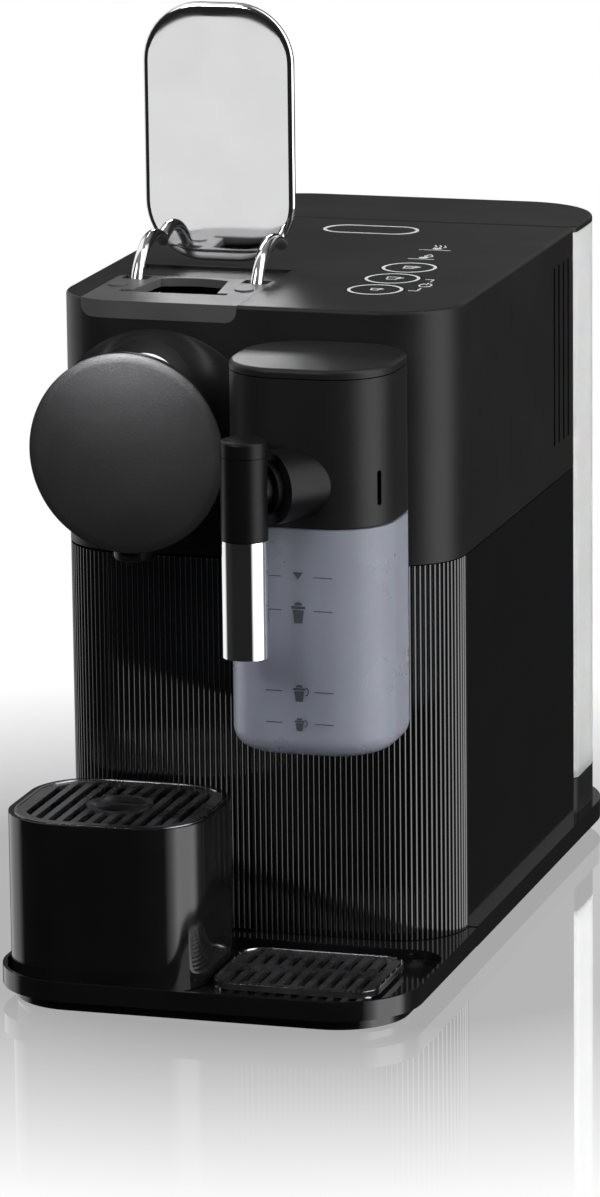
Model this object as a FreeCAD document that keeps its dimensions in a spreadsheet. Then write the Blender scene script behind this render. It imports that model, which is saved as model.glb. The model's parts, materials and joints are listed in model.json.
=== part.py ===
"""Pod coffee machine with a clip-on milk jug, as a parametric FreeCAD document.

Frame: millimetres, +X to the right seen from the front, +Y to the rear, +Z up.
The origin is the centre of the base plate's footprint, on the table.
"""
import FreeCAD
import Part
import math
import os
import re

import Sketcher

V = FreeCAD.Vector
os.makedirs("parts", exist_ok=True)
doc = FreeCAD.newDocument("pod_machine")
sheet = doc.addObject("Spreadsheet::Sheet", "Sheet")

SIZES = {
    # base and housings
    "plate_half": 77, "plate_front": -162, "plate_rear": 162,
    "plate_round_front": 30, "plate_round_rear": 38.9,
    "plinth_inset": 4.9, "plinth_low": 0.8, "plate_low": 5, "plate_top": 12.5,
    "body_half": 73.8, "body_front": -82.2, "body_rear": 101.8,
    "body_round": 25, "body_round_rear": 4, "body_top": 241.9,
    "seam_low": 150.2, "seam_high": 150.6, "wall": 2.4, "edge_round": 1.4,
    "rib_pitch": 2, "rib_depth": 0.6, "jamb_rear": -4,
    "foot_radius": 7, "foot_depth": 2.4, "foot_x": 54, "foot_front": -128, "foot_rear": 122,
    "screw_x": 58, "screw_front": -30, "screw_rear": 92, "screw_head": 3.2, "screw_shank": 1.6,
    "screw_low": 1.6, "screw_neck": 4, "screw_top": 12,
    # clearances: a close fit, an easy fit, and how far a cutting tool runs past its face
    "fit": 0.05, "ease": 0.1, "spare": 1,
    # drawer: drip tray, capsule container and what stands on them
    "split_x": -0.9, "split_y": -57.2, "split_gap": 0.4,
    "tray_top": 12.2, "tray_floor": 7, "tray_rim": 1.3, "tray_rear": -90.8, "tray_round": 12,
    "stand_bed": 0.3,
    "bin_left": -70.8, "bin_right": -4, "bin_front": -80.2, "bin_rear": -8,
    "bin_low": 12.8, "bin_high": 146, "bin_wall": 1.6, "bin_round": 23, "bin_round_rear": 3,
    "front_skin": 2, "front_low": 13.1, "front_high": 149.8,
    "bearer_left": -60, "bearer_right": -14, "bearer_front": -77.2, "bearer_rear": -61.2,
    "stand_left": -74.9, "stand_right": -0.9, "stand_front": -152.5, "stand_rear": -85.4,
    "stand_low": 7.4, "stand_top": 67, "stand_round": 23, "stand_wall": 1.6,
    "stand_grid_thick": 2, "stand_slot_pitch": 5.5, "stand_slot_width": 3,
    "stand_hole": 10, "stand_hole_rim": 2, "stand_bridge": 2.8, "stand_ledge": 2.4,
    "stand_ledge_thick": 1.6, "stand_field": 4.6, "stand_margin": 6,
    "grid_left": 1.2, "grid_right": 62, "grid_front": -142, "grid_rear": -95,
    "grid_low": 8.2, "grid_top": 10.4, "grid_round": 9,
    "grid_slot_pitch": 5.3, "grid_slot_width": 2.9, "grid_margin": 3,
    "grid_side": 2, "bar_front": -118.6, "bar_rear": -115.8, "leg_radius": 1.4, "leg_inset": 3,
    # brew head
    "head_x": -33.2, "disc_z": 194.5, "disc_radius": 36, "disc_front": -121.7,
    "disc_thick": 6.5, "disc_edge": 0.9, "stem_z": 213.1, "stem_radius": 12.9,
    "cowl_z": 191.6, "cowl_radius": 40.6, "barrel_radius": 18, "barrel_end": -95.2,
    "outlet_x": -34.4, "outlet_y": -107.2, "outlet_half": 7.5, "outlet_low": 153.9,
    "outlet_high": 206, "outlet_round": 1.8, "outlet_neck": 8, "outlet_bore": 2.6, "duct_radius": 3,
    "extraction_gap": 1.2, "extraction_thick": 11, "cradle_radius": 22.4, "cradle_wall": 2,
    "cradle_length": 56, "cradle_mouth": 32,
    # capsule slot panel and lever
    "panel_left": -62.8, "panel_right": -3.3, "panel_rear": -31.2, "panel_thick": 3,
    "panel_lip": 6.5, "panel_gap": 0.1, "panel_over": 5, "panel_round": 4, "lip_round": 4.5,
    "notch_half": 5, "notch_front": 23.6, "notch_rear": 16.4, "bumper_seat": 1, "bumper_tall": 1.6,
    "recess_left": -60.1, "recess_right": -4.5,
    "recess_rear": -9.2, "recess_depth": 1.1, "flange_front": -63.6, "flange_rear": -60.1,
    "flange_half": 20.2, "pod_half_front": 16, "pod_half_rear": 12.8, "pod_rear": -36.4,
    "pod_bulge": 3, "bumper_radius": 3.5, "bumper_x": 23.8, "bumper_y": -52.6,
    "hinge_y": -15.7, "hinge_z": 232.1, "arm_centre": -32.65, "arm_x": 22.65, "arm_ring": 21.7,
    "arm_radius": 2.3,
    "arm_from": 56, "arm_to": 176, "lever_width": 57.2, "lever_low": 243.2,
    "lever_high": 338.4, "lever_face": -4.9, "lever_thick": 3, "lever_round": 22,
    "lever_edge": 0.8, "pin_radius": 2, "pin_gap": 0.06, "bearing_thick": 3, "bearing_half": 6,
    "hub_radius": 4.4, "hub_half": 2.2, "web_thick": 3.6, "web_high": 4.2, "web_end": 1.2, "web_tilt": 1.5,
    "pin_out": 6.4, "bearing_out": 3.4, "piston_taper": 2.6, "piston_back": 4,
    "piston_radius": 17.6, "piston_front": -31.5, "piston_rear": -6, "piston_wall": 2.4,
    # buttons
    "button_x": 35.8, "button_first": -40.2, "button_step": 22.75, "button_radius": 10.5,
    "button_gap": 0.25, "button_thick": 2.2, "button_post": 3, "button_overlap": 0.5,
    "ring_inset": 0.4, "ring_width": 1.2, "ring_deep": 0.5,
    "switch_side": 6, "switch_high": 1.1, "post_gap": 1.1, "board_left": 8, "board_right": 66,
    "board_front": -58, "board_rear": 66,
    "alert_x": 35.3, "alert_first": 26.3, "alert_step": 19.3, "alert_radius": 1.8,
    "badge_y": 80, "badge_length": 37.2, "badge_width": 17.5, "badge_deep": 0.5, "badge_round": 8.7,
    # milk jug
    "jug_left": 5.2, "jug_right": 64.7, "jug_front": -137.7, "jug_rear": -83.2,
    "jug_round": 21.7, "jug_top": 231.1, "lid_seam": 227.8, "head_low": 175.6,
    "jug_low": 92.8, "jug_wall": 2, "sleeve_low": 166.9, "sleeve_inset": 2.4,
    "jug_foot_round": 7, "spout_z": 190.6, "boss_x": 31.1, "boss_radius": 13,
    "boss_reach": 8, "spout_reach": 18.7, "spout_side": 34.1, "tube_radius": 8.2,
    "tube_top": 209, "cap_seam": 203.2, "tube_low": 174.2, "sleeve_bottom": 132.5,
    "guide_radius": 6.6, "neck_radius": 6.6, "collar_radius": 9.2,
    "nipple_x": 35, "nipple_z": 203, "nipple_radius": 5, "nipple_bore": 2, "nipple_in": 14,
    "nipple_out": 10,
    "socket_radius": 9, "socket_length": 16, "socket_bore_deep": 12, "socket_play": 0.4,
    "head_gap": 0.2, "lid_round": 1.6, "seal_inset": 0.8, "seal_thick": 0.5, "container_gap": 0.8,
    "boss_depth": 12, "boss_tail": 1.5, "boss_duct": 4, "boss_bore": 2.4, "collar_gap": 0.3,
    "collar_thick": 2.4,
    "mixer_left": 26, "mixer_right": 44, "mixer_front": -123, "mixer_down": 7, "mixer_up": 18,
    "pickup_x": 40, "pickup_y": -116, "pickup_radius": 2.6, "pickup_bore": 1.6, "pickup_low": 12,
    "guide_top": 1, "guide_low": 6, "spout_bore": 3.2, "spout_bore_top": 14, "cap_round": 1.2,
    "sleeve_play": 0.3, "mark_side": 59, "mark_z": 188.7, "mark_tall": 10.5, "mark_wide": 2,
    # water tank
    "tank_front": 102.2, "tank_rear": 156.4, "tank_round": 32, "tank_round_front": 4,
    "tank_low": 27, "tank_high": 239.4, "tank_wall": 2, "seat_high": 26.6,
    "valve_x": 0, "valve_y": 125, "valve_radius": 8, "valve_bore": 2.4, "valve_lip": 2, "valve_down": 4,
    "flange_thick": 1.6, "well_deep": 8, "well_gap": 3, "drain_z": 20.6, "lid_gap": 0.3, "lid_edge": 1,
    "gland_x": 30, "gland_z": 19.5, "gland_radius": 4.9, "gland_in": 7.8, "gland_rim": 6.4,
    "gland_rim_thick": 2,
    "gland_cone": 4.6, "gland_tip": 4, "gland_cone_length": 3, "cord_radius": 3,
    "vent_first": 69.8, "vent_step": 7, "vent_low": 164, "vent_high": 232, "vent_width": 2.2,
    # inside
    "shelf_low": 152, "shelf_high": 154.4, "shelf_front": -2,
    "board_high": 233.5, "board_thick": 1.6, "hose_radius": 3, "hose_bend": 6, "brew_hose_radius": 2,
    "brew_hose_bend": 2.5, "shelf_gap": 0.3, "shelf_hole_x": 20, "shelf_hole_y": 80,
    "thermo_left": -62, "thermo_right": -6, "thermo_front": 6, "thermo_rear": 70, "thermo_tall": 40,
    "fin_first": 10, "fin_step": 8, "fin_thick": 3, "fin_tall": 6,
    "pump_x": 34, "pump_z": 60, "core_radius": 13, "core_front": 14, "core_length": 44,
    "coil_half": 18, "coil_front": 20, "coil_rear": 46, "pump_nose": 9, "pump_rear": 72,
    "bracket_top": 15.5, "post_half": 10, "post_front": 22, "post_rear": 44,
}
for row, (alias, value) in enumerate(SIZES.items(), start=1):
    sheet.set(f"A{row}", alias)
    sheet.set(f"B{row}", str(value))
    sheet.setAlias(f"B{row}", alias)
doc.recompute()

WORD = re.compile(r"\b[a-z][a-z_]*[a-z]\b")
nodes = []


def expression(text):
    """The text with every sheet alias written as FreeCAD reads it."""
    return WORD.sub(lambda word: f"Sheet.{word[0]}" if word[0] in SIZES else word[0], str(text))


def val(text):
    """The number that an expression of sheet sizes stands for now."""
    found = sheet.evalExpression(expression(text))
    return float(getattr(found, "Value", found))


def bind(thing, **properties):
    for name, text in properties.items():
        thing.setExpression(name.replace("__", "."), expression(text))
    return thing


def node(label, thing):
    """Marks an object as a sub-part: its label is the name of its file."""
    thing.Label = label
    nodes.append(thing)
    return thing


def place(thing, at, turn=None):
    for axis, text in zip("xyz", at):
        thing.setExpression(f"Placement.Base.{axis}", expression(text))
    if turn:
        thing.Placement.Rotation = turn
    return thing


TO_REAR = FreeCAD.Rotation(V(0, 0, 1), V(0, 1, 0))
TO_RIGHT = FreeCAD.Rotation(V(0, 0, 1), V(1, 0, 0))


def box(name, x, y, z):
    """A block between pairs of expressions."""
    block = doc.addObject("Part::Box", name)
    bind(block, Length=f"({x[1]}) - ({x[0]})", Width=f"({y[1]}) - ({y[0]})",
         Height=f"({z[1]}) - ({z[0]})")
    return place(block, (x[0], y[0], z[0]))


def rod(name, radius, at, length, turn=None):
    """A cylinder that starts at a point and runs up, to the rear or to the right."""
    cylinder = doc.addObject("Part::Cylinder", name)
    bind(cylinder, Radius=radius, Height=length)
    return place(cylinder, at, turn)


def cone(name, low_radius, high_radius, at, length, turn=None):
    frustum = doc.addObject("Part::Cone", name)
    bind(frustum, Radius1=low_radius, Radius2=high_radius, Height=length)
    return place(frustum, at, turn)


def fuse(name, *things):
    joined = doc.addObject("Part::MultiFuse", name)
    joined.Shapes = list(things)
    joined.Refine = True
    return joined


def cut(name, base, *tools):
    tool = tools[0] if len(tools) == 1 else fuse(name + "_tools", *tools)
    result = doc.addObject("Part::Cut", name)
    result.Base, result.Tool = base, tool
    result.Refine = True
    return result


def common(name, *things):
    shared = doc.addObject("Part::MultiCommon", name)
    shared.Shapes = list(things)
    return shared


def group(name, *things):
    """Several separate solids that share one node."""
    compound = doc.addObject("Part::Compound", name)
    compound.Links = list(things)
    return compound


def solid(name, shape):
    """A shape that neither sketches nor primitives make, worked out from the sheet."""
    feature = doc.addObject("Part::Feature", name)
    feature.Shape = shape
    return feature


# ---------------------------------------------------------------- sketches and bodies

def origin_plane(body, role):
    return next(f for f in body.Origin.OriginFeatures if f.Role == role)


def sketch_on(body, role, offset, name):
    sketch = body.newObject("Sketcher::SketchObject", name)
    sketch.AttachmentSupport = [(origin_plane(body, role), "")]
    sketch.MapMode = "FlatFace"
    sketch.setExpression("AttachmentOffset.Base.z", expression(offset))
    return sketch


def rounded(sketch, outline):
    """Draws a rectangle with round corners, its six sizes bound to the sheet."""
    left, right, front, rear, near, far = [val(text) for text in outline]
    lines = [((left + near, front), (right - near, front)), ((right, front + near), (right, rear - far)),
             ((right - far, rear), (left + far, rear)), ((left, rear - far), (left, front + near))]
    corners = [(right - near, front + near, near, -90), (right - far, rear - far, far, 0),
               (left + far, rear - far, far, 90), (left + near, front + near, near, 180)]
    up = V(0, 0, 1)
    for (start, end), (x, y, radius, angle) in zip(lines, corners):
        sketch.addGeometry(Part.LineSegment(V(*start, 0), V(*end, 0)))
        circle = Part.Circle(V(x, y, 0), up, radius)
        first = math.radians(angle)
        sketch.addGeometry(Part.ArcOfCircle(circle, first, first + math.pi / 2))
    for side in range(4):
        line, arc, following = 2 * side, 2 * side + 1, (2 * side + 2) % 8
        sketch.addConstraint(Sketcher.Constraint("Tangent", line, 2, arc, 1))
        sketch.addConstraint(Sketcher.Constraint("Tangent", arc, 2, following, 1))
    for line, way in ((0, "Horizontal"), (2, "Vertical"), (4, "Horizontal"), (6, "Vertical")):
        sketch.addConstraint(Sketcher.Constraint(way, line))
    sketch.addConstraint(Sketcher.Constraint("Equal", 7, 1))
    sketch.addConstraint(Sketcher.Constraint("Equal", 3, 5))
    sizes = [("DistanceX", 6, left), ("DistanceX", 2, right), ("DistanceY", 0, front),
             ("DistanceY", 4, rear)]
    for (kind, line, size), text in zip(sizes, outline):
        number = sketch.addConstraint(Sketcher.Constraint(kind, -1, 1, line, 1, size))
        sketch.setExpression(f"Constraints[{number}]", expression(text))
    for arc, text, size in ((1, outline[4], near), (3, outline[5], far)):
        number = sketch.addConstraint(Sketcher.Constraint("Radius", arc, size))
        sketch.setExpression(f"Constraints[{number}]", expression(text))
    return sketch


def circle_on(sketch, x, y, radius):
    """Draws one circle whose centre and radius are bound to the sheet."""
    at = sketch.GeometryCount
    sketch.addGeometry(Part.Circle(V(val(x), val(y), 0), V(0, 0, 1), val(radius)))
    for kind, text in (("DistanceX", x), ("DistanceY", y)):
        number = sketch.addConstraint(Sketcher.Constraint(kind, -1, 1, at, 3, val(text)))
        sketch.setExpression(f"Constraints[{number}]", expression(text))
    number = sketch.addConstraint(Sketcher.Constraint("Radius", at, val(radius)))
    sketch.setExpression(f"Constraints[{number}]", expression(radius))
    return sketch


def pad(body, sketch, length):
    feature = body.newObject("PartDesign::Pad", sketch.Name + "_pad")
    feature.Profile = sketch
    feature.setExpression("Length", expression(length))
    doc.recompute()
    return feature


def pocket(body, sketch, depth, upward=False):
    before = body.Shape.Volume
    feature = body.newObject("PartDesign::Pocket", sketch.Name + "_pocket")
    feature.Profile = sketch
    feature.Reversed = upward
    feature.setExpression("Length", expression(depth))
    doc.recompute()
    if not body.Shape.Volume < before - 1e-3:
        raise ValueError(f"{feature.Name} removes nothing")
    return feature


def fillet(body, radius, chosen):
    """Rounds the edges of the body's tip that the test picks."""
    tip = body.Tip
    names = [f"Edge{i}" for i, edge in enumerate(tip.Shape.Edges, start=1) if chosen(edge)]
    feature = body.newObject("PartDesign::Fillet", body.Name + "_fillet")
    feature.Base = (tip, names)
    feature.setExpression("Radius", expression(radius))
    doc.recompute()
    return feature


def at_height(z):
    return lambda edge: abs(edge.BoundBox.ZMin - z) < 1e-3 and abs(edge.BoundBox.ZMax - z) < 1e-3


def inset(outline, by):
    left, right, front, rear, near, far = outline
    return (f"{left} + {by}", f"{right} - ({by})", f"{front} + {by}", f"{rear} - ({by})",
            f"{near} - ({by})", f"{far} - ({by})")


def slab(name, outline, low, high):
    """A body: one rounded outline padded from low to high."""
    body = doc.addObject("PartDesign::Body", name)
    pad(body, rounded(sketch_on(body, "XY_Plane", low, name + "_outline"), outline),
        f"({high}) - ({low})")
    return body


def tub(name, outline, low, high, thick, floor):
    """An open-topped vessel with a rounded outline."""
    body = slab(name, outline, low, high)
    inner = rounded(sketch_on(body, "XY_Plane", high, name + "_inner"), inset(outline, thick))
    pocket(body, inner, f"({high}) - ({low}) - ({floor})")
    return body


def bell(name, outline, low, high, thick, roof):
    """An open-bottomed cover with a rounded outline."""
    body = slab(name, outline, low, high)
    inner = rounded(sketch_on(body, "XY_Plane", low, name + "_inner"), inset(outline, thick))
    pocket(body, inner, f"({high}) - ({low}) - ({roof})", upward=True)
    return body


PLATE = ("-plate_half", "plate_half", "plate_front", "plate_rear", "plate_round_front", "plate_round_rear")
BODY = ("-body_half", "body_half", "body_front", "body_rear", "body_round", "body_round_rear")
JUG = ("jug_left", "jug_right", "jug_front", "jug_rear", "jug_round", "jug_round")
STAND = ("stand_left", "stand_right", "stand_front", "stand_rear", "stand_round", "stand_round")
TANK = ("-body_half", "body_half", "tank_front", "tank_rear", "tank_round_front", "tank_round")
BIN = ("bin_left", "bin_right", "bin_front", "bin_rear", "bin_round", "bin_round_rear")
GRID = ("grid_left", "grid_right", "grid_front", "grid_rear", "grid_round", "grid_round")
PANEL = ("panel_left", "panel_right", "body_front - panel_over", "panel_rear", "panel_over", "panel_round")
LIP = ("panel_left", "panel_right", "body_top - panel_lip", "body_top + panel_lip", "lip_round",
       "lip_round")
BADGE = ("-badge_length / 2", "badge_length / 2", "badge_y - badge_width / 2", "badge_y + badge_width / 2",
         "badge_round", "badge_round")
FOOT_SPOTS = [(x, y) for x in ("-foot_x", "foot_x") for y in ("foot_front", "foot_rear")]
SCREW_SPOTS = [(x, y) for x in ("-screw_x", "screw_x") for y in ("screw_front", "screw_rear")]
SIDES = (("left", "-"), ("right", "+"))


# ---------------------------------------------------------------- base

def make_base_plate():
    """Plinth under the whole footprint, and the thick slab behind the drip tray."""
    plinth = slab("plinth", inset(PLATE, "plinth_inset"), "plinth_low", "plate_low")
    outline = slab("slab_outline", PLATE, "plate_low", "plate_top")
    front = box("slab_front", ("-plate_half - spare", "plate_half + spare"),
                ("plate_front - spare", "split_y"), ("plate_low", "plate_top + spare"))
    rear_slab = cut("rear_slab", outline, front)
    whole = fuse("base_blank", plinth, rear_slab)
    pockets = [rod(f"foot_pocket_{i}", "foot_radius + fit", (x, y, "0"), "foot_depth + fit")
               for i, (x, y) in enumerate(FOOT_SPOTS)]
    heads = [rod(f"screw_pocket_{i}", "screw_head + ease", (x, y, "0"), "screw_neck")
             for i, (x, y) in enumerate(SCREW_SPOTS)]
    shanks = [rod(f"screw_hole_{i}", "screw_shank + ease", (x, y, "0"), "plate_top + spare")
              for i, (x, y) in enumerate(SCREW_SPOTS)]
    node("base_plate", cut("base", whole, *pockets, *heads, *shanks))
    node("rubber_feet", group("feet", *[rod(f"foot_{i}", "foot_radius", (x, y, "0"), "foot_depth")
                                        for i, (x, y) in enumerate(FOOT_SPOTS)]))
    screws = [fuse(f"screw_{i}", rod(f"screw_head_{i}", "screw_head", (x, y, "screw_low"),
                                     "screw_neck - screw_low"),
                   rod(f"screw_shank_{i}", "screw_shank", (x, y, "screw_low"), "screw_top - screw_low"))
              for i, (x, y) in enumerate(SCREW_SPOTS)]
    node("housing_screws", group("screws", *screws))



# ---------------------------------------------------------------- ribbed lower skin

def ribbed_path(side, depth):
    """Edges of the scalloped front, from the split line round one corner to the plain side.

    side is 1 for the right and -1 for the left. Ribs bulge outwards by depth.
    """
    half, front, radius = val("body_half"), val("body_front"), val("body_round")
    start = val("split_x") + side * val("split_gap") / 2
    straight = half - radius - side * start
    length = straight + radius * math.pi / 2
    count = round(length / val("rib_pitch"))

    def point(travel, out):
        if travel <= straight:
            return V(start + side * travel, front + depth - out, 0)
        angle = (travel - straight) / radius
        reach = radius - depth + out
        return V(side * (half - radius + reach * math.sin(angle)),
                 front + radius - reach * math.cos(angle), 0)

    edges = []
    for rib in range(count):
        first, last = length * rib / count, length * (rib + 1) / count
        arc = Part.Arc(point(first, 0), point((first + last) / 2, depth), point(last, 0))
        edges.append(arc.toShape())
    return edges, point(0, 0), point(length, 0)


def ribbed_skin(side, depth_back):
    """The face between the scalloped front and a smooth line behind it."""
    edges, start, end = ribbed_path(side, val("rib_depth"))
    half, front, radius = val("body_half"), val("body_front"), val("body_round")
    inner = radius - depth_back
    back_start = V(start.x, front + depth_back, 0)
    corner = V(side * (half - radius), front + radius, 0)
    turn_start = V(corner.x, front + depth_back, 0)
    turn_end = V(side * (half - depth_back), corner.y, 0)
    middle = corner + V(side * math.sin(math.pi / 4), -math.cos(math.pi / 4), 0) * inner
    back = [Part.makeLine(end, turn_end), Part.Arc(turn_end, middle, turn_start).toShape(),
            Part.makeLine(turn_start, back_start), Part.makeLine(back_start, start)]
    return Part.Face(Part.Wire(edges + back))


def raised(face, low, high):
    moved = face.copy()
    moved.translate(V(0, 0, low))
    return moved.extrude(V(0, 0, high - low))


def make_lower_housing():
    """Plain sides and rear, a ribbed right front, and an open bay for the drawer on the left."""
    low, high = "plate_top", "seam_low"
    shell = slab("lower_blank", BODY, low, high)
    inner = rounded(sketch_on(shell, "XY_Plane", high, "lower_inner"), inset(BODY, "wall"))
    pocket(shell, inner, f"{high} - ({low})")
    bay = box("drawer_bay", ("-body_half - spare", "split_x + split_gap / 2"),
              ("body_front - spare", "split_y + split_gap / 2"), (f"{low} - spare", f"{high} + spare"))
    ribbed = box("ribbed_part", ("split_x - spare", "body_half + spare"),
                 ("body_front - spare", "split_y"), (low, high))
    plain = cut("plain_walls", shell, bay, ribbed)
    skin = solid("right_skin", raised(ribbed_skin(1, val("wall")), val(low), val(high)))
    jamb = box("bay_jamb", ("split_x + split_gap / 2", "split_x + wall"),
               ("body_front + wall", "jamb_rear"), (low, high))
    hose_hole = rod("rear_hose_hole", "hose_radius + ease",
                    ("valve_x", "body_rear - wall - spare", "drain_z"),
                    "wall + 2 * spare", TO_REAR)
    node("lower_housing", cut("lower", fuse("lower_walls", plain, skin, jamb), hose_hole))


# ---------------------------------------------------------------- upper housing

def top_opening(name, radius, x, y):
    """A round hole through the top wall."""
    return rod(name, radius, (x, y, "body_top - wall - spare"), "wall + 2 * spare")


def front_opening(name, radius, x, z):
    """A round hole through the front wall."""
    return rod(name, radius, (x, "body_front - spare", z), "wall + 2 * spare", TO_REAR)


def panel_space(name, by):
    """The room of the slot panel: round corners in plan, and round lower corners seen from the front."""
    lip = doc.addObject("PartDesign::Body", name + "_lip")
    pad(lip, rounded(sketch_on(lip, "XZ_Plane", f"-panel_rear + {by}", name + "_front_view"), inset(LIP,
                                                                                                    by)),
        "panel_rear - body_front + spare")
    plan = slab(name + "_plan", inset(PANEL, by), "body_top - 2 * panel_lip", "body_top + spare")
    return common(name, lip, plan)


def make_upper_housing():
    shell = bell("upper_blank", BODY, "seam_high", "body_top", "wall", "wall")
    fillet(shell, "edge_round", at_height(val("body_top")))
    tools = [
        panel_space("panel_opening", "0"),
        box("recess", ("recess_left", "recess_right"), ("panel_rear - panel_round", "recess_rear"),
            ("body_top - recess_depth", "body_top + spare")),
        front_opening("barrel_hole", "barrel_radius - spare", "head_x", "stem_z"),
        front_opening("socket_hole", "socket_radius + ease", "nipple_x", "nipple_z"),
        slab("badge_bed", BADGE, "body_top - badge_deep", "body_top + spare"),
    ]
    for i in range(3):
        tools.append(top_opening(f"button_hole_{i}", "button_radius + button_gap", "button_x",
                                 f"button_first + {i} * button_step"))
    for i in range(2):
        tools.append(top_opening(f"alert_hole_{i}", "alert_radius", "alert_x",
                                 f"alert_first + {i} * alert_step"))
    for i in range(4):
        y = f"vent_first + {i} * vent_step"
        tools.append(box(f"vent_{i}", ("body_half - wall - spare", "body_half + spare"),
                         (f"{y} - vent_width / 2", f"{y} + vent_width / 2"), ("vent_low", "vent_high")))
    node("upper_housing", cut("upper", shell, *tools))

    node("top_badge", slab("badge_slab", inset(BADGE, "fit"), "body_top - badge_deep", "body_top"))
    lenses = [rod(f"lens_{i}", "alert_radius - fit", ("alert_x", f"alert_first + {i} * alert_step",
                                                      "body_top - wall"), "wall") for i in range(2)]
    node("alert_lenses", group("lenses", *lenses))


def pod_profile():
    """Outline of a capsule lying on its side: a flange slit and a tapering body."""
    x, front, rear = val("head_x"), val("flange_front"), val("flange_rear")
    flange, near, far = val("flange_half"), val("pod_half_front"), val("pod_half_rear")
    end, bulge = val("pod_rear"), val("pod_bulge")
    right = [V(x + flange, front, 0), V(x + flange, rear, 0), V(x + near, rear, 0), V(x + far, end, 0)]
    left = [V(2 * x - point.x, point.y, 0) for point in reversed(right)]
    lines = [Part.makeLine(a, b) for a, b in zip(right, right[1:])]
    lines.append(Part.Arc(right[-1], V(x, end + bulge, 0), left[0]).toShape())
    lines += [Part.makeLine(a, b) for a, b in zip(left, left[1:])]
    lines.append(Part.makeLine(left[-1], right[0]))
    return Part.Face(Part.Wire(lines))


def make_slot_panel():
    plate = slab("panel_plate", BODY, "body_top - panel_thick", "body_top")
    rim_outer = slab("panel_rim_outer", BODY, "body_top - 2 * panel_lip", "body_top")
    rim_inner = slab("panel_rim_inner", inset(BODY, "wall"), "body_top - 3 * panel_lip", "body_top + spare")
    blank = common("panel_blank", fuse("panel_stock", plate, cut("panel_rim", rim_outer, rim_inner)),
                   panel_space("panel_limits", "panel_gap"))
    slot_low = val("body_top - panel_thick - spare")
    slot = solid("pod_slot", raised(pod_profile(), slot_low, val("body_top + spare")))
    notches = [box(f"arm_notch_{side}", (f"arm_centre {sign} arm_x - notch_half",
                                         f"arm_centre {sign} arm_x + notch_half"),
                   ("hinge_y - notch_front", "hinge_y - notch_rear"),
                   ("body_top - panel_thick - spare", "body_top + spare"))
               for side, sign in SIDES]
    seats = [(f"head_x {sign} bumper_x", "bumper_y", "body_top - bumper_seat") for _, sign in SIDES]
    sockets = [rod(f"bumper_hole_{i}", "bumper_radius + fit", at, "bumper_tall") for i,
               at in enumerate(seats)]
    node("slot_panel", cut("panel", blank, slot, *notches, *sockets))
    bumpers = [rod(f"bumper_{i}", "bumper_radius", at, "bumper_tall") for i, at in enumerate(seats)]
    node("slot_bumpers", group("bumpers", *bumpers))


# ---------------------------------------------------------------- brew head

COWL_STEPS = 3


def ring_section(body, offset, z, radius, name):
    """A circle across the brew axis; offset is its distance in front of the origin."""
    return circle_on(sketch_on(body, "XZ_Plane", offset, name), "head_x", z, radius)


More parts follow.
